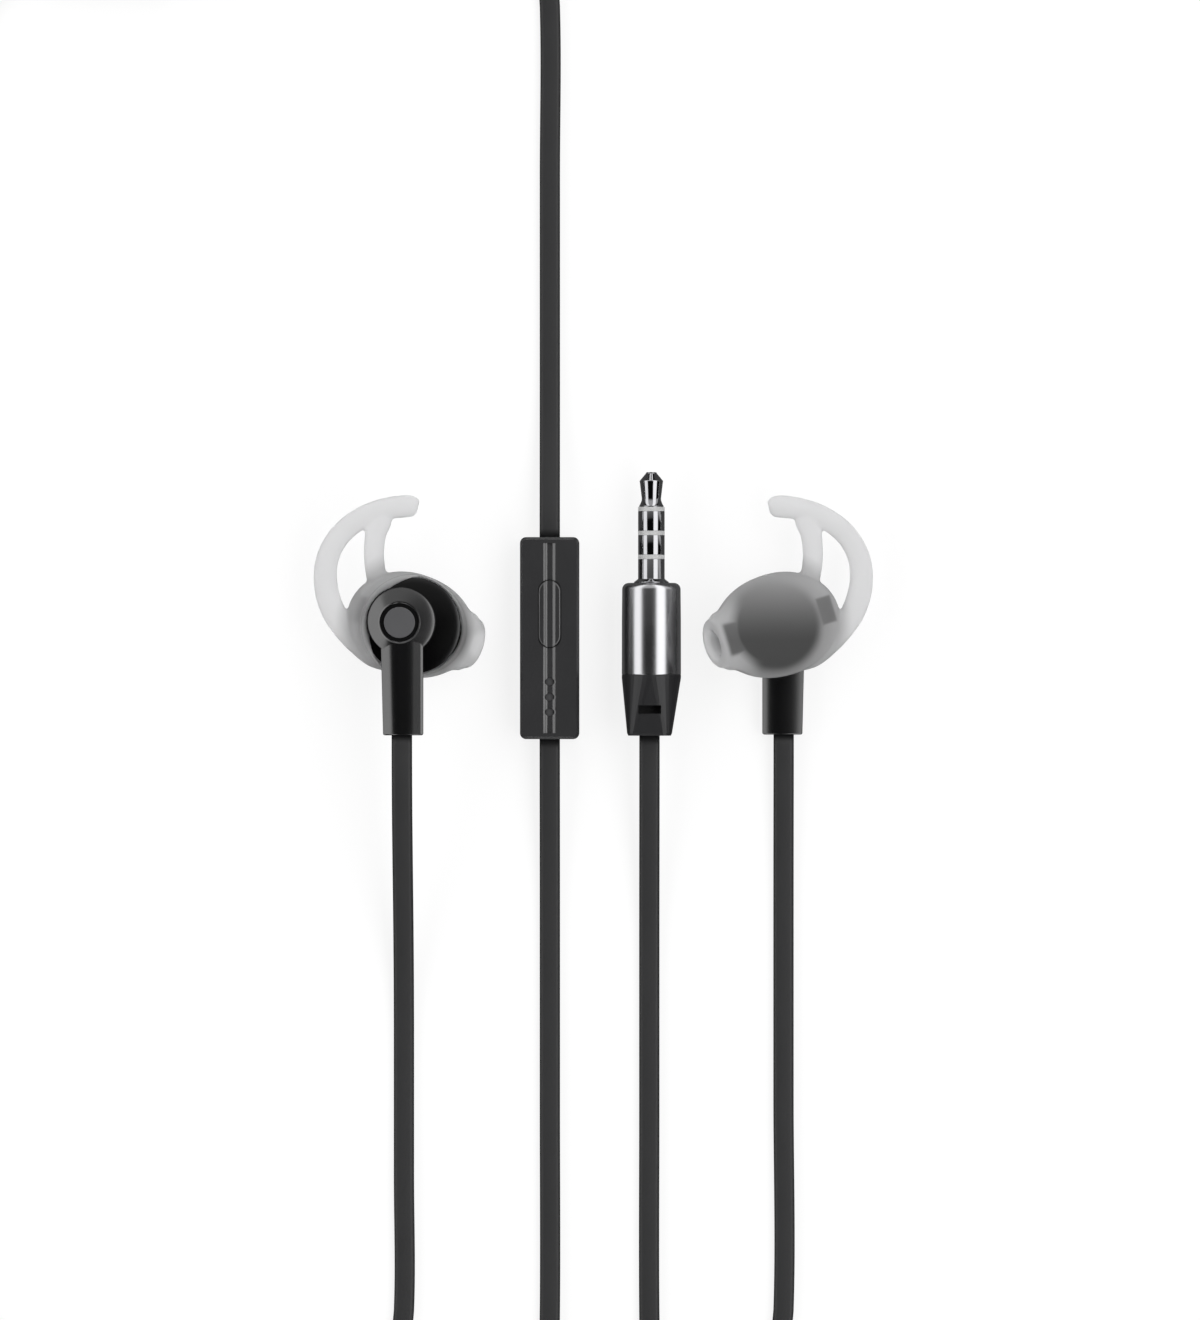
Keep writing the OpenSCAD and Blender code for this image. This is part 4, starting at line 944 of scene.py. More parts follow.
def finish(name, colour, rough, grain=0.0, size=1.0, metal=0.0, drift=0.06, **sockets):
    """A finish by its colour, roughness and grain; drift is how far the colour wanders."""
    material = bpy.data.materials.new(name)
    material.use_nodes = True
    tree = material.node_tree
    shader = tree.nodes["Principled BSDF"]
    shader.inputs["Metallic"].default_value = metal
    for socket, value in sockets.items():
        shader.inputs[socket.replace("_", " ")].default_value = value
    place = add_node(tree, "ShaderNodeTexCoord")
    mottle = add_node(tree, "ShaderNodeTexNoise")
    mottle.inputs["Scale"].default_value = MOTTLE_SCALE
    mottle.inputs["Detail"].default_value = 3
    tint = add_node(tree, "ShaderNodeMix", data_type="RGBA")
    low = [c * (1 - drift) for c in colour]
    high = [min(1, c * (1 + drift)) for c in colour]
    tint.inputs[6].default_value = (*low, 1)
    tint.inputs[7].default_value = (*high, 1)
    polish = add_node(tree, "ShaderNodeMapRange")
    polish.inputs["To Min"].default_value = max(0.02, rough * 0.9)
    polish.inputs["To Max"].default_value = min(1, rough * 1.12)
    join_sockets(
        tree,
        (place.outputs["Object"], mottle.inputs["Vector"]),
        (mottle.outputs["Fac"], tint.inputs[0]),
        (mottle.outputs["Fac"], polish.inputs["Value"]),
        (tint.outputs[2], shader.inputs["Base Color"]),
        (polish.outputs[0], shader.inputs["Roughness"]),
    )
    if grain:
        fine = add_node(tree, "ShaderNodeTexNoise")
        fine.inputs["Scale"].default_value = GRAIN_SCALE / size
        fine.inputs["Detail"].default_value = 2
        bump = add_node(tree, "ShaderNodeBump")
        bump.inputs["Strength"].default_value = grain
        bump.inputs["Distance"].default_value = GRAIN_DEPTH * size
        join_sockets(
            tree,
            (place.outputs["Object"], fine.inputs["Vector"]),
            (fine.outputs["Fac"], bump.inputs["Height"]),
            (bump.outputs["Normal"], shader.inputs["Normal"]),
        )
    return material


# %% Plastics, rubbers and metals
satin_black = finish("satin_black", (0.002, 0.002, 0.0023), 0.2, grain=0.06,
                     Specular_IOR_Level=0.9)
shell_black = finish("shell_black", (0.001, 0.001, 0.0011), 0.17, grain=0.08)
badge_grey = finish("badge_grey", (0.06, 0.06, 0.063), 0.45, grain=0.1)
soft_dark = finish("soft_dark", (0.021, 0.021, 0.022), 0.25, grain=0.15, Specular_IOR_Level=0.8)
cord_rubber = finish("cord_rubber", (0.0152, 0.0152, 0.0158), 0.52, grain=0.3, size=1.5,
                     Specular_IOR_Level=0.35)
felt = finish("felt", (0.05, 0.05, 0.052), 0.9, grain=0.5)
relief_rubber = finish("relief_rubber", (0.008, 0.008, 0.009), 0.42, grain=0.25,
                       Specular_IOR_Level=0.4)
steel = finish("polished_steel", (0.38, 0.38, 0.39), 0.235, metal=1.0, drift=0.02)
contact_metal = finish("contact_plating", (0.3, 0.3, 0.31), 0.08, metal=1.0, drift=0.02)
insulator_grey = finish("insulator_ring", (0.42, 0.42, 0.42), 0.45)
inner_steel = finish("inner_steel", (0.45, 0.45, 0.46), 0.35, metal=1.0)
copper = finish("copper", (0.6, 0.3, 0.16), 0.35, metal=1.0)
film = finish("driver_film", (0.5, 0.53, 0.56), 0.3)
board_green = finish("board_green", (0.01, 0.06, 0.025), 0.4)
mesh_steel = finish("mesh_steel", (0.35, 0.35, 0.36), 0.45, metal=1.0)
print("materials", len(bpy.data.materials))

# %% [markdown]
# ## Frosted silicone
# Cast silicone is cloudy: light goes in, spreads and comes out soft. A rough transmission
# with a low bend gives that, and an absorbing body greys the thick places. The skin's mark
# from before multiplies the colour down where the black housing lies close behind, and with
# it the painted shade that runs darker from the skin's upper side to its lower one.

# %% Clear rubber with a cloudy body
frosted_silicone = finish(
    "frosted_silicone", (0.825, 0.825, 0.83), 0.7, grain=0.1, size=3, drift=0.015,
    Transmission_Weight=0.62, IOR=1.22, Specular_IOR_Level=0.4,
)
# The third number is the darkest colour of the painted shade on the skin.
BODY_GREY, BODY_DENSITY, PAINTED_SHADE_GREY = 0.5, 260, 0.09
skin = frosted_silicone.node_tree
skin_colour = skin.nodes["Principled BSDF"].inputs["Base Color"]
tinted = skin_colour.links[0].from_socket
# The painted shade mark darkens the colour: see-through darkening over the housing, and painted shade
# from the upper side down.
painted_shade_mark = add_node(skin, "ShaderNodeAttribute", attribute_name="painted_shade")
shade_in = add_node(skin, "ShaderNodeMix", data_type="RGBA", blend_type="MULTIPLY")
shade_in.inputs[7].default_value = (PAINTED_SHADE_GREY, PAINTED_SHADE_GREY, PAINTED_SHADE_GREY, 1)
cloud = add_node(skin, "ShaderNodeVolumeAbsorption")
cloud.inputs["Color"].default_value = (BODY_GREY, BODY_GREY, BODY_GREY, 1)
cloud.inputs["Density"].default_value = BODY_DENSITY
join_sockets(
    skin,
    (painted_shade_mark.outputs["Fac"], shade_in.inputs[0]),
    (tinted, shade_in.inputs[6]),
    (shade_in.outputs[2], skin_colour),
    (cloud.outputs[0], skin.nodes["Material Output"].inputs["Volume"]),
)
print("silicone nodes", len(skin.nodes))

# %% Hand the finishes out
finish_of = {}
for material, names in (
    (shell_black, "rear_shell front_shell"),
    (satin_black, "cap stem_back"),
    (badge_grey, "badge"),
    (frosted_silicone, "ear_sleeve"),
    (inner_steel, "driver_basket driver_magnet remote_switch remote_microphone"),
    (film, "diaphragm"),
    (mesh_steel, "nozzle_mesh"),
    (copper, "voice_coil wires splitter_joint"),
    (relief_rubber, "cord_gland remote_gasket remote_glands plug_relief coil_tie"),
    (soft_dark, "remote_upper_shell remote_lower_shell remote_button"),
    (soft_dark, "plug_core splitter_upper splitter_lower"),
    (board_green, "remote_board"),
    (contact_metal, "plug_tip plug_ring_1 plug_ring_2 plug_ground"),
    (insulator_grey, "plug_insulator"),
    (steel, "plug_barrel"),
    (cord_rubber, "cord_left cord_right cord_common cord_remote_tail cord_coil cord_plug_tail"),
):
    finish_of.update({name: material for name in names.split()})


def paint(piece, material):
    """Give a piece one material in place of what it had."""
    piece.data.materials.clear()
    piece.data.materials.append(material)


for name, piece in nodes.items():
    short = name.split("_", 1)[1] if name.startswith(("left_", "right_")) else name
    paint(piece, finish_of[short])
for piece in (left_cord, right_cord, common_cord, main_cord):
    paint(piece, cord_rubber)
for side in ("left", "right"):
    paint(bpy.data.objects[side + "_sleeve_moulding"], frosted_silicone)
print("painted", len(nodes), "nodes")

# %% [markdown]
# ## The plug's turned metal parts
# Contacts and barrel are turned on a lathe, so each one is a profile spun about the plug's
# axis. A profile is drawn as a chain of points by extruding one vertex, and spun all the
# way round in fine steps. Spinning gives clean round reflections, which a metal part
# needs more than anything else.

# %% Plug sizes and a lathe
PLUG_X, PLUG_Y = 7.6, 4.2
BARREL_R, BARREL_L = 3.9, 12.1
JACK_R, JACK_L = 1.75, 14.6
BAND, CONTACT = 0.55, 2.6
TIP_BASE = JACK_L - 4.6
GROUND_END = TIP_BASE - 3 * BAND - 2 * CONTACT
COLLAR = 0.5
LATHE_STEPS = 96
TURNED_EDGE, MOULDED_EDGE, BEVEL_EDGE = math.radians(28), math.radians(24), math.radians(14)


def spin_profile(name, profile, nodes_replaced, material):
    """Spin a profile of (radius, height) points about the plug's axis and lay it along Y."""
    piece = new_piece(name)
    bpy.ops.mesh.primitive_plane_add(size=0.01, location=(0, 0, 0))
    bpy.ops.mesh.merge(type="CENTER")
    mesh = bmesh.from_edit_mesh(piece.data)
    mesh.verts.ensure_lookup_table()
    mesh.verts[0].co = (profile[0][0], 0, profile[0][1])
    bmesh.update_edit_mesh(piece.data)
    for (r0, h0), (r1, h1) in zip(profile, profile[1:]):
        bpy.ops.mesh.extrude_region_move(
            TRANSFORM_OT_translate={"value": (r1 - r0, 0, h1 - h0)})
    bpy.ops.mesh.select_all(action="SELECT")
    bpy.ops.mesh.spin(steps=LATHE_STEPS, angle=2 * math.pi, center=(0, 0, 0), axis=(0, 0, 1))
    bpy.ops.mesh.select_all(action="SELECT")
    bpy.ops.mesh.remove_doubles(threshold=0.0005)
    bpy.ops.mesh.normals_make_consistent(inside=False)
    bpy.ops.object.mode_set(mode="OBJECT")
    piece.rotation_euler.x = -math.pi / 2
    piece.scale = (MM, MM, MM)
    piece.location = (PLUG_X * MM, PLUG_Y * MM, PLUG_Z * MM)
    bpy.ops.object.transform_apply(location=True, rotation=True, scale=True)
    bpy.ops.object.shade_smooth_by_angle(angle=TURNED_EDGE)
    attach(piece, SET)
    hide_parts(*nodes_replaced)
    paint(piece, material)
    print(name, len(piece.data.polygons), "faces")


def arc_points(centre, r, start, end, steps):
    """Points of a round edge, as (radius, height), from one angle to another in degrees."""
    out = []
    for k in range(steps + 1):
        a = math.radians(start + (end - start) * k / steps)
        out.append((centre[0] + r * math.cos(a), centre[1] + r * math.sin(a)))
    return out


# %% Turn the tip: a core, a base, a waist that the socket's spring drops into, and a point
LINER_R, CORE_R = 0.9, 0.55
EDGE = 0.06
tip_profile = (
    [(0, -2), (CORE_R, -2), (CORE_R, TIP_BASE), (JACK_R - 0.2, TIP_BASE)]
    + arc_points((JACK_R - 0.2, TIP_BASE + 0.1), 0.08, -90, 60, 5)
    + [(1.42, TIP_BASE + 0.5), (1.28, TIP_BASE + 0.9), (1.27, TIP_BASE + 1.15)]
    + [(1.36, TIP_BASE + 1.9), (1.52, JACK_L - 1.35)]
    + arc_points((1.42, JACK_L - 1.2), 0.13, 0, 50, 4)
    + [(0.72, JACK_L - 0.16)] + arc_points((0.5, JACK_L - 0.3), 0.3, 45, 90, 5)
    + [(0, JACK_L)]
)
spin_profile("plug_tip_turned", tip_profile, ["plug_tip"], contact_metal)

# %% Turn the two rings, which differ only in place, and the ground contact with its collar


def band_height(k):
    """Where the insulating band below ring k starts."""
    return GROUND_END + (k - 1) * (CONTACT + BAND)


def ring_profile(low, high):
    """A short tube with eased outer edges."""
    return (
        [(LINER_R, low), (JACK_R - EDGE, low)]
        + arc_points((JACK_R - EDGE, low + EDGE), EDGE, -90, 0, 3)
        + arc_points((JACK_R - EDGE, high - EDGE), EDGE, 0, 90, 3)
        + [(LINER_R, high), (LINER_R, low)]
    )


for ring, below in (("plug_ring_1", 2), ("plug_ring_2", 1)):
    profile = ring_profile(band_height(below) + BAND, band_height(below + 1))
    spin_profile(ring + "_turned", profile, [ring], contact_metal)
ground_profile = (
    [(LINER_R, -2), (2, -2), (2, 0), (2.25, 0)] + arc_points((2.22, 0.08), 0.08, -45, 80, 4)
    + [(JACK_R + 0.12, COLLAR - 0.06), (JACK_R + 0.02, COLLAR + 0.02), (JACK_R, COLLAR + 0.14)]
    + arc_points((JACK_R - EDGE, GROUND_END - EDGE), EDGE, 0, 90, 3)
    + [(LINER_R, GROUND_END), (LINER_R, -2)]
)
spin_profile("plug_ground_turned", ground_profile, ["plug_ground"],
             contact_metal)

# %% Turn the barrel: a tube with a round shoulder at the contacts' end
ROUND, FOOT = 0.85, 0.12
BARREL_WALL, BARREL_LID, LID_R = 0.7, 0.62, 2.02
barrel_profile = (
    [(LID_R, -BARREL_LID), (LID_R, -0.1)] + arc_points((LID_R + 0.1, -0.1), 0.1, 180, 90, 3)
    + arc_points((BARREL_R - 0.05 - ROUND, -ROUND), ROUND, 90, 0, 12)
    + [(BARREL_R - 0.01, -BARREL_L * 0.4)]
    + arc_points((BARREL_R - FOOT, -BARREL_L + FOOT), FOOT, 0, -90, 4)
    + [(BARREL_R - BARREL_WALL, -BARREL_L), (BARREL_R - BARREL_WALL, -BARREL_LID),
       (LID_R, -BARREL_LID)]
)
spin_profile("plug_barrel_turned", barrel_profile, ["plug_barrel"], steel)

# %% [markdown]
# ## The keyhole cap
# The outer cover is a keyhole in plan: a round head with a sloped border about a sunk
# badge, running into the bevelled stem. The border falls steeply on one side and leans
# gently on the other, which makes it light on one side and dark on the other. It could be
# a disc with a bevelled rim, but a bevel is the same all round, so the head is bridged from
# rings that drop and tilt by a rule.

# %% The head: rings from the badge's rim out to the foot, then down the wall
BADGE_AT, BADGE_R, WELL_R, WELL_DEPTH = (-0.28, -1.05), 2.03, 2.5, 0.45
RIM_R, FOOT_R = 2.75, HEAD_R - 0.08
HEAD_FOOT, HEAD_SIDES = 0.8, 128
BORDER_STOPS = (0, 0.12, 0.24, 0.36, 0.48, 0.6, 0.7, 0.78, 0.84, 0.9, 0.95, 1)


def steep_drop(t):
    """How far the border has fallen on its short side."""
    return 0.78 * t


def broad_drop(t):
    """On its broad side the border leans gently, and turns down at the very edge."""
    return 0.216 * t + 0.032 * t**2 + 0.03 * t**9


def border_circle(t, r, extra=0.0):
    """A ring of the border: t runs from 0 at the badge's rim to 1 at the foot."""
    steep, broad = steep_drop(t), broad_drop(t)
    x = BADGE_AT[0] + (HEAD_AT[0] - BADGE_AT[0]) * t
    y = BADGE_AT[1] + (HEAD_AT[1] - BADGE_AT[1]) * t
    tilt = -math.asin((steep - broad) / (2 * r))
    return ((x, y, CAP_TOP - (steep + broad) / 2 - extra), (0, tilt, 0), (r, r))


head_circles = [((*HEAD_AT, HEAD_FOOT), (0, 0, 0), (HEAD_R, HEAD_R)),
                border_circle(1, HEAD_R, 0.14), border_circle(1, HEAD_R - 0.02, 0.06)]
for t in reversed(BORDER_STOPS):
    head_circles.append(border_circle(t, RIM_R + (FOOT_R - RIM_R) * t))
cap = bridge_circles("keyhole_cap", head_circles, HEAD_SIDES)
print("head faces", len(cap.data.polygons))

# %% [markdown]
# ## The outer half of the stem
# The stem's outer half is flat in the middle, eased into a bevel on one side and gently
# sloped on the other, and each slope catches its own panel of light. Its section is drawn
# point by point by extruding one vertex, and extruded to the stem's end. Bevelling a box
# would do for two equal sides, but not for two different ones.

# %% The outer half's section, from its middle out on either side
END_ROUND, DRAW_IN = 0.25, 0.35
FLAT_HALF, EASE_R, BEVEL, FLARE = 0.45, 3.6, math.radians(30), math.radians(24)
GENTLE_FROM, GENTLE_RUN, GENTLE = 0.5, 1.1, math.radians(8.7)
eased_side = [(FLAT_HALF + EASE_R * math.sin(BEVEL * k / 10),
               EASE_R * (1 - math.cos(BEVEL * k / 10))) for k in range(11)]
gentle_side = [(GENTLE_FROM + GENTLE_RUN * k / 8,
                GENTLE_RUN * math.tan(GENTLE) * (k / 8)**2 / 2) for k in range(9)]


def run_out(side, fall):
    """Carry a side's points on over the bevel, the flare and the small edge round."""
    points = list(side)
    for x, slope in ((STEM_HALF - 0.32, fall), (STEM_HALF - 0.1, FLARE)):
        points.append((x, points[-1][1] + (x - points[-1][0]) * math.tan(slope)))
    edge = points[-1][1]
    points += [(STEM_HALF - 0.03, edge + 0.03), (STEM_HALF, edge + 0.08)]
    return points + [(STEM_HALF, CAP_TOP - STEM_MID)]


outer_section = [(-x, CAP_TOP - drop) for x, drop in reversed(run_out(eased_side, BEVEL))]
outer_section += [(x, CAP_TOP - drop) for x, drop in run_out(gentle_side, GENTLE)]
print("section points", len(outer_section))

# %% Draw a section, extrude it and round its end off
END_STEPS = 4


def stem_half(name, start, section, narrow_side):
    """Half of the stem, from a start on the head to its end, where one side draws in a little."""
    piece = new_piece(name)
    bpy.ops.mesh.select_mode(type="VERT")
    bpy.ops.mesh.primitive_plane_add(size=0.01, location=(0, 0, 0))
    bpy.ops.mesh.merge(type="CENTER")
    bpy.ops.transform.translate(value=(section[0][0], start, section[0][1]))
    for (x0, z0), (x1, z1) in zip(section, section[1:]):
        bpy.ops.mesh.extrude_region_move(
            TRANSFORM_OT_translate={"value": (x1 - x0, 0, z1 - z0)})
    bpy.ops.mesh.select_all(action="SELECT")
    bpy.ops.mesh.edge_face_add()
    bpy.ops.mesh.extrude_region_move(
        TRANSFORM_OT_translate={"value": (0, STEM_END + END_ROUND - start, 0)})
    inset = 0
    for k in range(END_STEPS):
        a, b = math.pi / 2 * k / END_STEPS, math.pi / 2 * (k + 1) / END_STEPS
        step, more = END_ROUND * (math.sin(b) - math.sin(a)), END_ROUND * (1 - math.cos(b))
        bpy.ops.mesh.extrude_region_move(TRANSFORM_OT_translate={"value": (0, -step, 0)})
        bpy.ops.transform.resize(
            value=((STEM_HALF - more) / (STEM_HALF - inset), 1,
                   (CAP_TOP - STEM_MID - more) / (CAP_TOP - STEM_MID - inset)),
            center_override=(0, STEM_END, STEM_MID))
        inset = more
    bpy.ops.mesh.select_all(action="SELECT")
    bpy.ops.mesh.normals_make_consistent(inside=False)
    bpy.ops.object.mode_set(mode="OBJECT")
    pick(piece, "VERT", lambda ends: ends[0].y < STEM_END + 2 * END_ROUND
         and ends[0].x * narrow_side > -0.4)
    bpy.ops.transform.translate(value=(-DRAW_IN * narrow_side, 0, 0))
    done_editing()
    return piece


outer_half = stem_half("outer_half", HEAD_AT[1], outer_section, -1)
print("stem faces", len(outer_half.data.polygons))

# %% Fuse head and stem, sink the well and clear the cord's passage


def fuse(piece, part):
    """Make a part one solid with a piece."""
    use_modifier(piece, "BOOLEAN", operation="UNION", object=part, solver="EXACT")
    bpy.data.objects.remove(part, do_unlink=True)


fuse(cap, outer_half)
well_steps = [(0, -WELL_DEPTH), (0, -0.2), (0.04, -0.12), (0.12, -0.05), (0.25, -0.01),
              (0.4, 0.05), (0.4, 1)]
well_circles = [((*BADGE_AT, CAP_TOP + rise), (0, 0, 0), (WELL_R + more, WELL_R + more))
                for more, rise in well_steps]
cut(cap, bridge_circles("well", well_circles, 96))
PASSAGE_W, PASSAGE_H = 3.4, 1.5
passage = block("passage", (-PASSAGE_W / 2, STEM_END - 1, STEM_MID - PASSAGE_H / 2),
                (PASSAGE_W / 2, HEAD_AT[1], STEM_MID + PASSAGE_H / 2))
cut(cap, passage, keep=True)
print("cap faces", len(cap.data.polygons))

# %% [markdown]
# ## The inner half of the stem
# The half that faces the ear is softly arched, less so on one side. It is drawn and
# extruded in the same way as the outer half, turned over about the stem's middle, and
# trimmed where the head and the rear shell take its place.

# %% Two arches make the inner half
STRONG_ARCH, WEAK_ARCH, ARCH_HALF = 6.4, 15, 2.68


def arched_side(arch_r):
    """Points from the middle out along an arch, then round the small edge."""
    rows = [ARCH_HALF * k / 14 for k in range(15)]
    points = [(x, arch_r - math.sqrt(arch_r**2 - x**2)) for x in rows]
    edge = points[-1][1]
    return points + [(STEM_HALF - 0.04, edge + 0.04), (STEM_HALF, edge + 0.1),
                     (STEM_HALF, CAP_TOP - STEM_MID)]


inner_section = [(-x, CAP_TOP - drop) for x, drop in reversed(arched_side(STRONG_ARCH))]
inner_section += [(x, CAP_TOP - drop) for x, drop in arched_side(WEAK_ARCH)[1:]]
inner_half = stem_half("inner_stem", HEAD_AT[1], inner_section, 1)
pick(inner_half, "VERT", lambda ends: True)
bpy.ops.transform.resize(value=(-1, 1, -1), center_override=(0, 0, STEM_MID))
bpy.ops.mesh.normals_make_consistent(inside=False)
done_editing()
cut(inner_half, drum("head_side", HEAD_AT, HEAD_R, -1, 5))
cut(inner_half, passage)
cut(inner_half, bridge_circles("shell_side", rear_form_circles(0, -1)))
print("inner half faces", len(inner_half.data.polygons))

# %% [markdown]
# ## The rear shell
# The rear shell closes the housing behind the driver: a shallow domed cup with a hole for
# the wires, and at the heel a key tab that locks the silicone. The sleeve's flap was made
# from the same form, so the two fit, and the face's very slight dome is what grades its
# reflection from grey to black.

# %% The rear shell: a domed cup with the key tab and the wires' hole
TAB_GAP = 0.3
WIRE_HOLE_AT, WIRE_HOLE_R = (0, -0.7), 0.9
rear = bridge_circles("housing_back", rear_form_circles(0, -SHELL_SKIRT))
tab = block("tab", (-SHELL_R - TAB_OUT, -TAB_W / 2, -SHELL_SKIRT + TAB_GAP),
            (-SHELL_R + SHELL_WALL / 2, TAB_W / 2, TAB_TOP))
turn_to_nozzle(tab)
fuse(rear, tab)
cut(rear, drum("hollow", SHELL_AT, SHELL_R - SHELL_WALL, -SHELL_SKIRT - 1, REAR_TOP - SHELL_WALL))
cut(rear, drum("wire_hole", WIRE_HOLE_AT, WIRE_HOLE_R, 0, 5, 32))
print("rear shell faces", len(rear.data.polygons))

# %% [markdown]
# ## The badge and the two sets
# A plain disc lies in the cap's well, its rim eased so that it draws a fine light ring.
# Then each part of the ear piece is copied to the left and to the right. Smooth shading
# stops at a low angle, which keeps the stem's slopes crisp, and weighted normals keep the
# broad faces flat.

# %% A plain badge disc with an eased rim


def bevel_edges(piece, wanted, width, segments):
    """Bevel the edges that pass a test."""
    pick(piece, "EDGE", wanted)
    bpy.ops.mesh.bevel(offset=width, segments=segments, affect="EDGES")
    done_editing()


BADGE_TOP = CAP_TOP - 0.03
badge = drum("badge_disc", BADGE_AT, BADGE_R, CAP_TOP - WELL_DEPTH, BADGE_TOP, 96)
bevel_edges(badge, lambda ends: min(end.z for end in ends) > BADGE_TOP - 0.01, 0.1, 3)
print("badge faces", len(badge.data.polygons))

# %% Copy cap, inner stem, badge and rear shell to both sides
for master, node, slot, material in (
    (cap, "cap", "satin_black", satin_black),
    (inner_half, "stem_back", "satin_black", satin_black),
    (badge, "badge", "badge", badge_grey),
    (rear, "rear_shell", "dark_plastic", shell_black),
):
    for side in ("left", "right"):
        placed = place_bud_piece(master, side)
        bpy.ops.object.shade_smooth_by_angle(angle=BEVEL_EDGE)
        use_modifier(placed, "WEIGHTED_NORMAL", keep_sharp=True)
        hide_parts(side + "_" + node)
        paint(placed, material)
    bpy.data.objects.remove(master, do_unlink=True)

# %% [markdown]
# ## The in-line remote
# The upper half of the remote is a moulded shell: a slab with rounded corners and a soft
# edge, hollow underneath. A shallow channel runs down its middle and on over the button.
# The slopes of that channel draw the two thin light lines, so its section matters most.
# It could be pushed in with a soft falloff, but a bar that has the exact section and is
# taken out of the slab gives the same curve on the shell and on the button.

# %% Sizes of the remote
REMOTE_AT = (REMOTE_X, (REMOTE_TOP + REMOTE_END) / 2, 0)
REMOTE_W, REMOTE_L, REMOTE_H = 7.8, REMOTE_TOP - REMOTE_END, 5
REMOTE_WALL, END_WALL = 0.9, 1.4
CORNER_R, TOP_BEVEL = 0.8, 0.35
GLAND_HALF_W, GLAND_HALF_H = 1.65, 0.78
BUTTON_AT, BUTTON_W, BUTTON_L = 3.2, 2.9, 8.8
MIC_AT, MIC_STEP = -7.75, 2
CHANNEL_DEPTH, CHANNEL_FLOOR, CHANNEL_TOP = 0.22, 0.26, 0.88
print("remote middle", REMOTE_AT, "length", round(REMOTE_L, 2))

# %% A pill from a drum


def shift(piece, x, y, z):
    """Move a whole mesh; its object stays where it is."""
    pick(piece, "VERT", lambda ends: True)
    bpy.ops.transform.translate(value=(x, y, z))
    done_editing()


def long_pill(name, width, length, low, high, at_y=0):
    """A cylinder whose two halves are pulled apart along Y."""
    piece = drum(name, (0, 0), width / 2, low, high, 66)
    for side in (-1, 1):
        pick(piece, "VERT", lambda ends: ends[0].y * side > 0)
        bpy.ops.transform.translate(value=(0, side * (length - width) / 2, 0))
        done_editing()
    shift(piece, 0, at_y, 0)
    return piece


# %% The bar that takes the channel out


def channel_depth_at(x):
    """A flat floor, then half a wave up to the surface."""
    across_slope = (abs(x) - CHANNEL_FLOOR) / (CHANNEL_TOP - CHANNEL_FLOOR)
    return CHANNEL_DEPTH * 0.5 * (1 + math.cos(math.pi * held(across_slope)))


def channel_bar(length, top):
    """A long bar whose underside has the channel's section."""
    nothing_selected()
    bpy.ops.mesh.primitive_grid_add(x_subdivisions=44, y_subdivisions=1, size=1)
    bar = bpy.context.active_object
    bar.name = "channel_bar"
    bar.scale = (2 * CHANNEL_TOP, length, 1)
    bpy.ops.object.transform_apply(location=False, rotation=False, scale=True)
    rows = sorted({round(v.co.x, 4) for v in bar.data.vertices})
    for x in rows:
        pick(bar, "VERT", lambda ends: abs(ends[0].x - x) < 0.001)
        bpy.ops.transform.translate(value=(0, 0, -channel_depth_at(x) + 0.002))
        done_editing()
    pick(bar, "FACE", lambda ends: True)
    bpy.ops.mesh.extrude_region_move(TRANSFORM_OT_translate={"value": (0, 0, 1)})
    bpy.ops.mesh.select_all(action="SELECT")
    bpy.ops.mesh.normals_make_consistent(inside=False)
    bpy.ops.transform.translate(value=(0, 0, top))
    done_editing()
    return bar


print("slope at its steepest", round(math.degrees(math.atan(
    CHANNEL_DEPTH * math.pi / 2 / (CHANNEL_TOP - CHANNEL_FLOOR))), 1))

# %% Model the upper shell: round corners, a soft edge, a hollow and its openings
remote_top = block("remote_top", (-REMOTE_W / 2, -REMOTE_L / 2, REMOTE_Z),
                   (REMOTE_W / 2, REMOTE_L / 2, REMOTE_H))
bevel_edges(remote_top, lambda ends: abs(ends[0].z - ends[1].z) > 1, CORNER_R, 10)
bevel_edges(remote_top, lambda ends: min(end.z for end in ends) > REMOTE_H - 0.01, TOP_BEVEL, 1)
hollow = block("hollow", (-REMOTE_W / 2 + REMOTE_WALL, -REMOTE_L / 2 + END_WALL, 1),
               (REMOTE_W / 2 - REMOTE_WALL, REMOTE_L / 2 - END_WALL, REMOTE_H - REMOTE_WALL))
cut(remote_top, hollow)
cut(remote_top, long_pill("opening", BUTTON_W + 0.16, BUTTON_L + 0.24, 1, 7, BUTTON_AT))
cut(remote_top, channel_bar(REMOTE_L - 2 * CORNER_R, REMOTE_H))
for end in (-1, 1):
    low_y, high_y = sorted((end * (REMOTE_L / 2 - END_WALL), end * (REMOTE_L / 2 + 0.7)))
    cut(remote_top, block("gland_seat", (-GLAND_HALF_W, low_y, REMOTE_Z - GLAND_HALF_H),
                          (GLAND_HALF_W, high_y, REMOTE_Z + GLAND_HALF_H)))
print("shell faces", len(remote_top.data.polygons))

# %% Sink the microphone's three holes; each step is a rise and the radius at its top
HOLE_R = 0.55
rim_steps = [(0.78, HOLE_R), (0.05, 0.57), (0.05, 0.61), (0.04, 0.68), (0.04, 0.8), (0.2, 1.3)]
for k in (-1, 0, 1):
    hole = drum("hole", (0, 0), HOLE_R, 3.5, 4.0, 40)
    size = HOLE_R
    for rise, radius in rim_steps:
        highest = max(v.co.z for v in hole.data.vertices)
        pick(hole, "FACE", lambda ends: min(end.z for end in ends) > highest - 0.001)
        bpy.ops.mesh.extrude_region_move(TRANSFORM_OT_translate={"value": (0, 0, rise)})
        bpy.ops.transform.resize(value=(radius / size, radius / size, 1))
        done_editing()
        size = radius
    shift(hole, 0, MIC_AT + k * MIC_STEP, 0)
    cut(remote_top, hole)
print("shell faces with holes", len(remote_top.data.polygons))

# %% Set the shell in its place


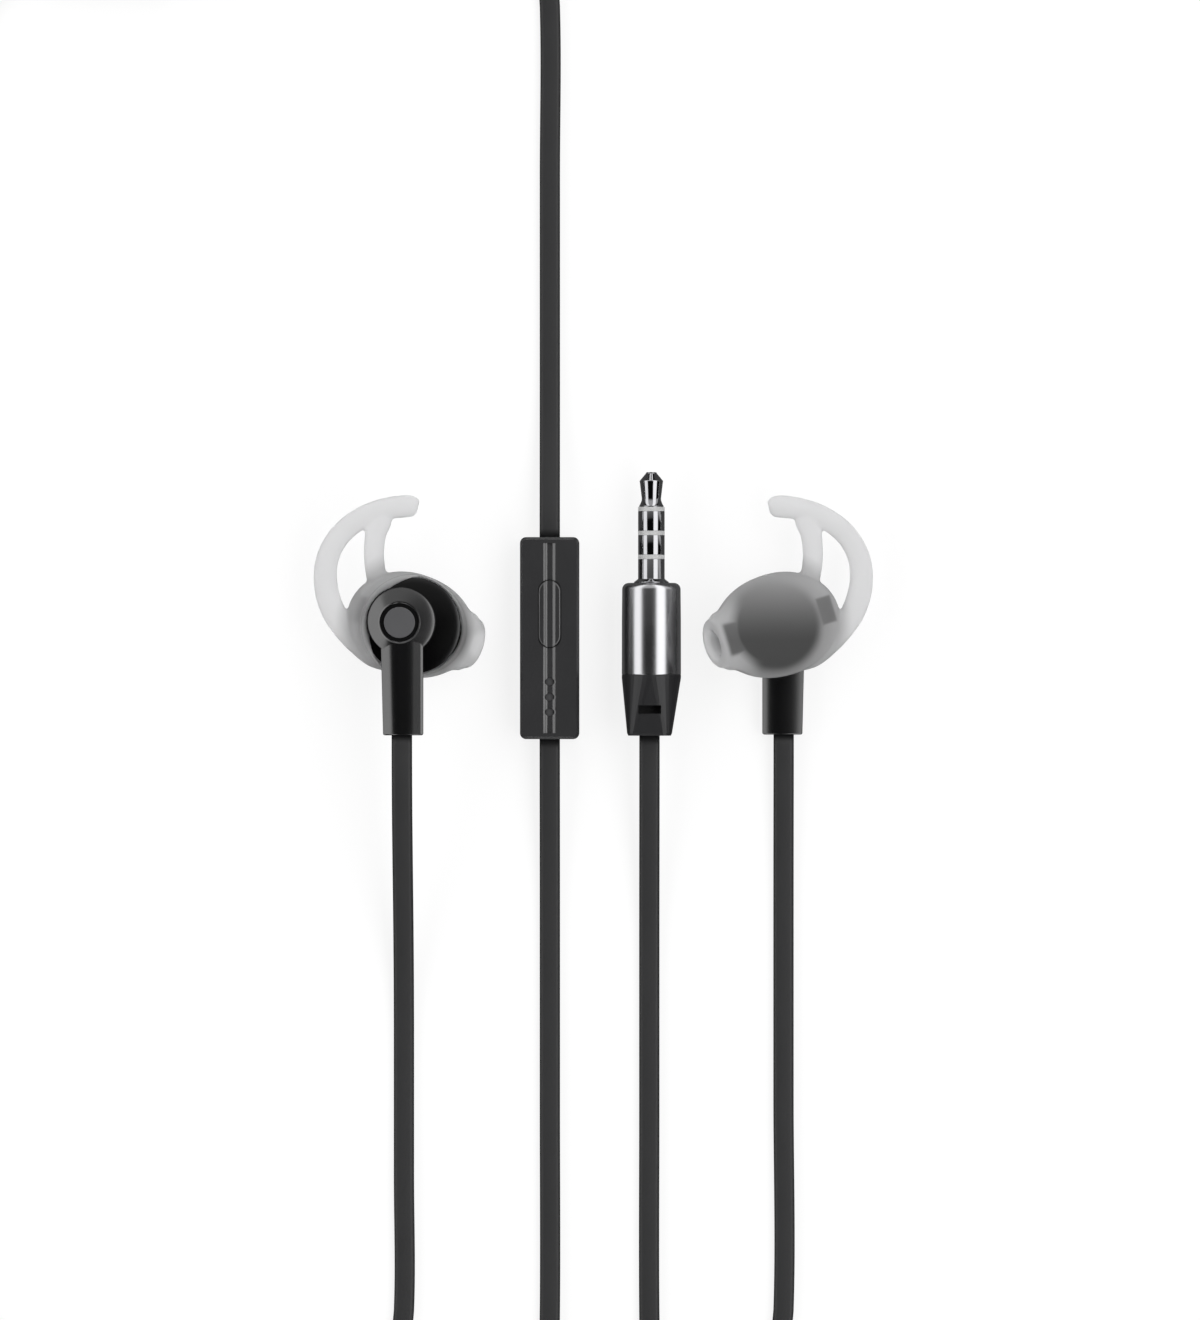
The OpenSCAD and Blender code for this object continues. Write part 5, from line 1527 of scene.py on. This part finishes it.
def set_remote_piece(piece, body, replaced, material):
    """Shade a piece made at the remote's middle, set it in the remote and hand it over."""
    select_only(piece)
    piece.scale = (MM, MM, MM)
    piece.location = [c * MM for c in REMOTE_AT]
    bpy.ops.object.transform_apply(location=True, rotation=True, scale=True)
    bpy.ops.object.shade_smooth_by_angle(angle=MOULDED_EDGE)
    use_modifier(piece, "WEIGHTED_NORMAL", keep_sharp=True)
    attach(piece, body)
    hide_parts(replaced)
    paint(piece, material)
    print(piece.name, len(piece.data.polygons), "faces")


set_remote_piece(remote_top, SET, "remote_upper_shell", soft_dark)

# %% [markdown]
# ## The button
# The button is a long pill that stands just proud of the shell. A flange under the shell
# keeps it in, and a short stem below presses the switch. It shares the shell's channel, so
# the same bar is taken out of it. It rides its own body, because it moves.

# %% The button: a long pill with a flange that keeps it in, and a stem onto the switch
BUTTON_TOP, FLANGE_LOW, FLANGE_T = 5.15, 3.65, 0.4
button = long_pill("remote_button_cap", BUTTON_W + 0.08, BUTTON_L, FLANGE_LOW + 0.2, BUTTON_TOP)
bevel_edges(button, lambda ends: min(end.z for end in ends) > BUTTON_TOP - 0.01, 0.26, 6)
cut(button, channel_bar(12, BUTTON_TOP))
flange = long_pill("flange", BUTTON_W + 0.8, BUTTON_L + 0.8, FLANGE_LOW, FLANGE_LOW + FLANGE_T)
stem = drum("stem", (0, 0), 0.8, 2.85, FLANGE_LOW + 0.1, 32)
for part in (flange, stem):
    fuse(button, part)
shift(button, 0, BUTTON_AT, 0)
set_remote_piece(button, PRESSED, "remote_button", soft_dark)

# %% [markdown]
# ## The microphone's gasket
# A soft pad seals the microphone against the shell. Only its three dots show, up through
# the holes, and they give the holes a dull dark floor in place of a black pit.

# %% The microphone's gasket, with a felt dot under each hole
gasket = long_pill("microphone_gasket", 4, 5.8, 3.7, 4.1)
for k in (-1, 0, 1):
    fuse(gasket, drum("dot", (0, k * MIC_STEP), HOLE_R - 0.03, 3.9, 4.5, 32))
shift(gasket, 0, MIC_AT, 0)
set_remote_piece(gasket, SET, "remote_gasket", felt)
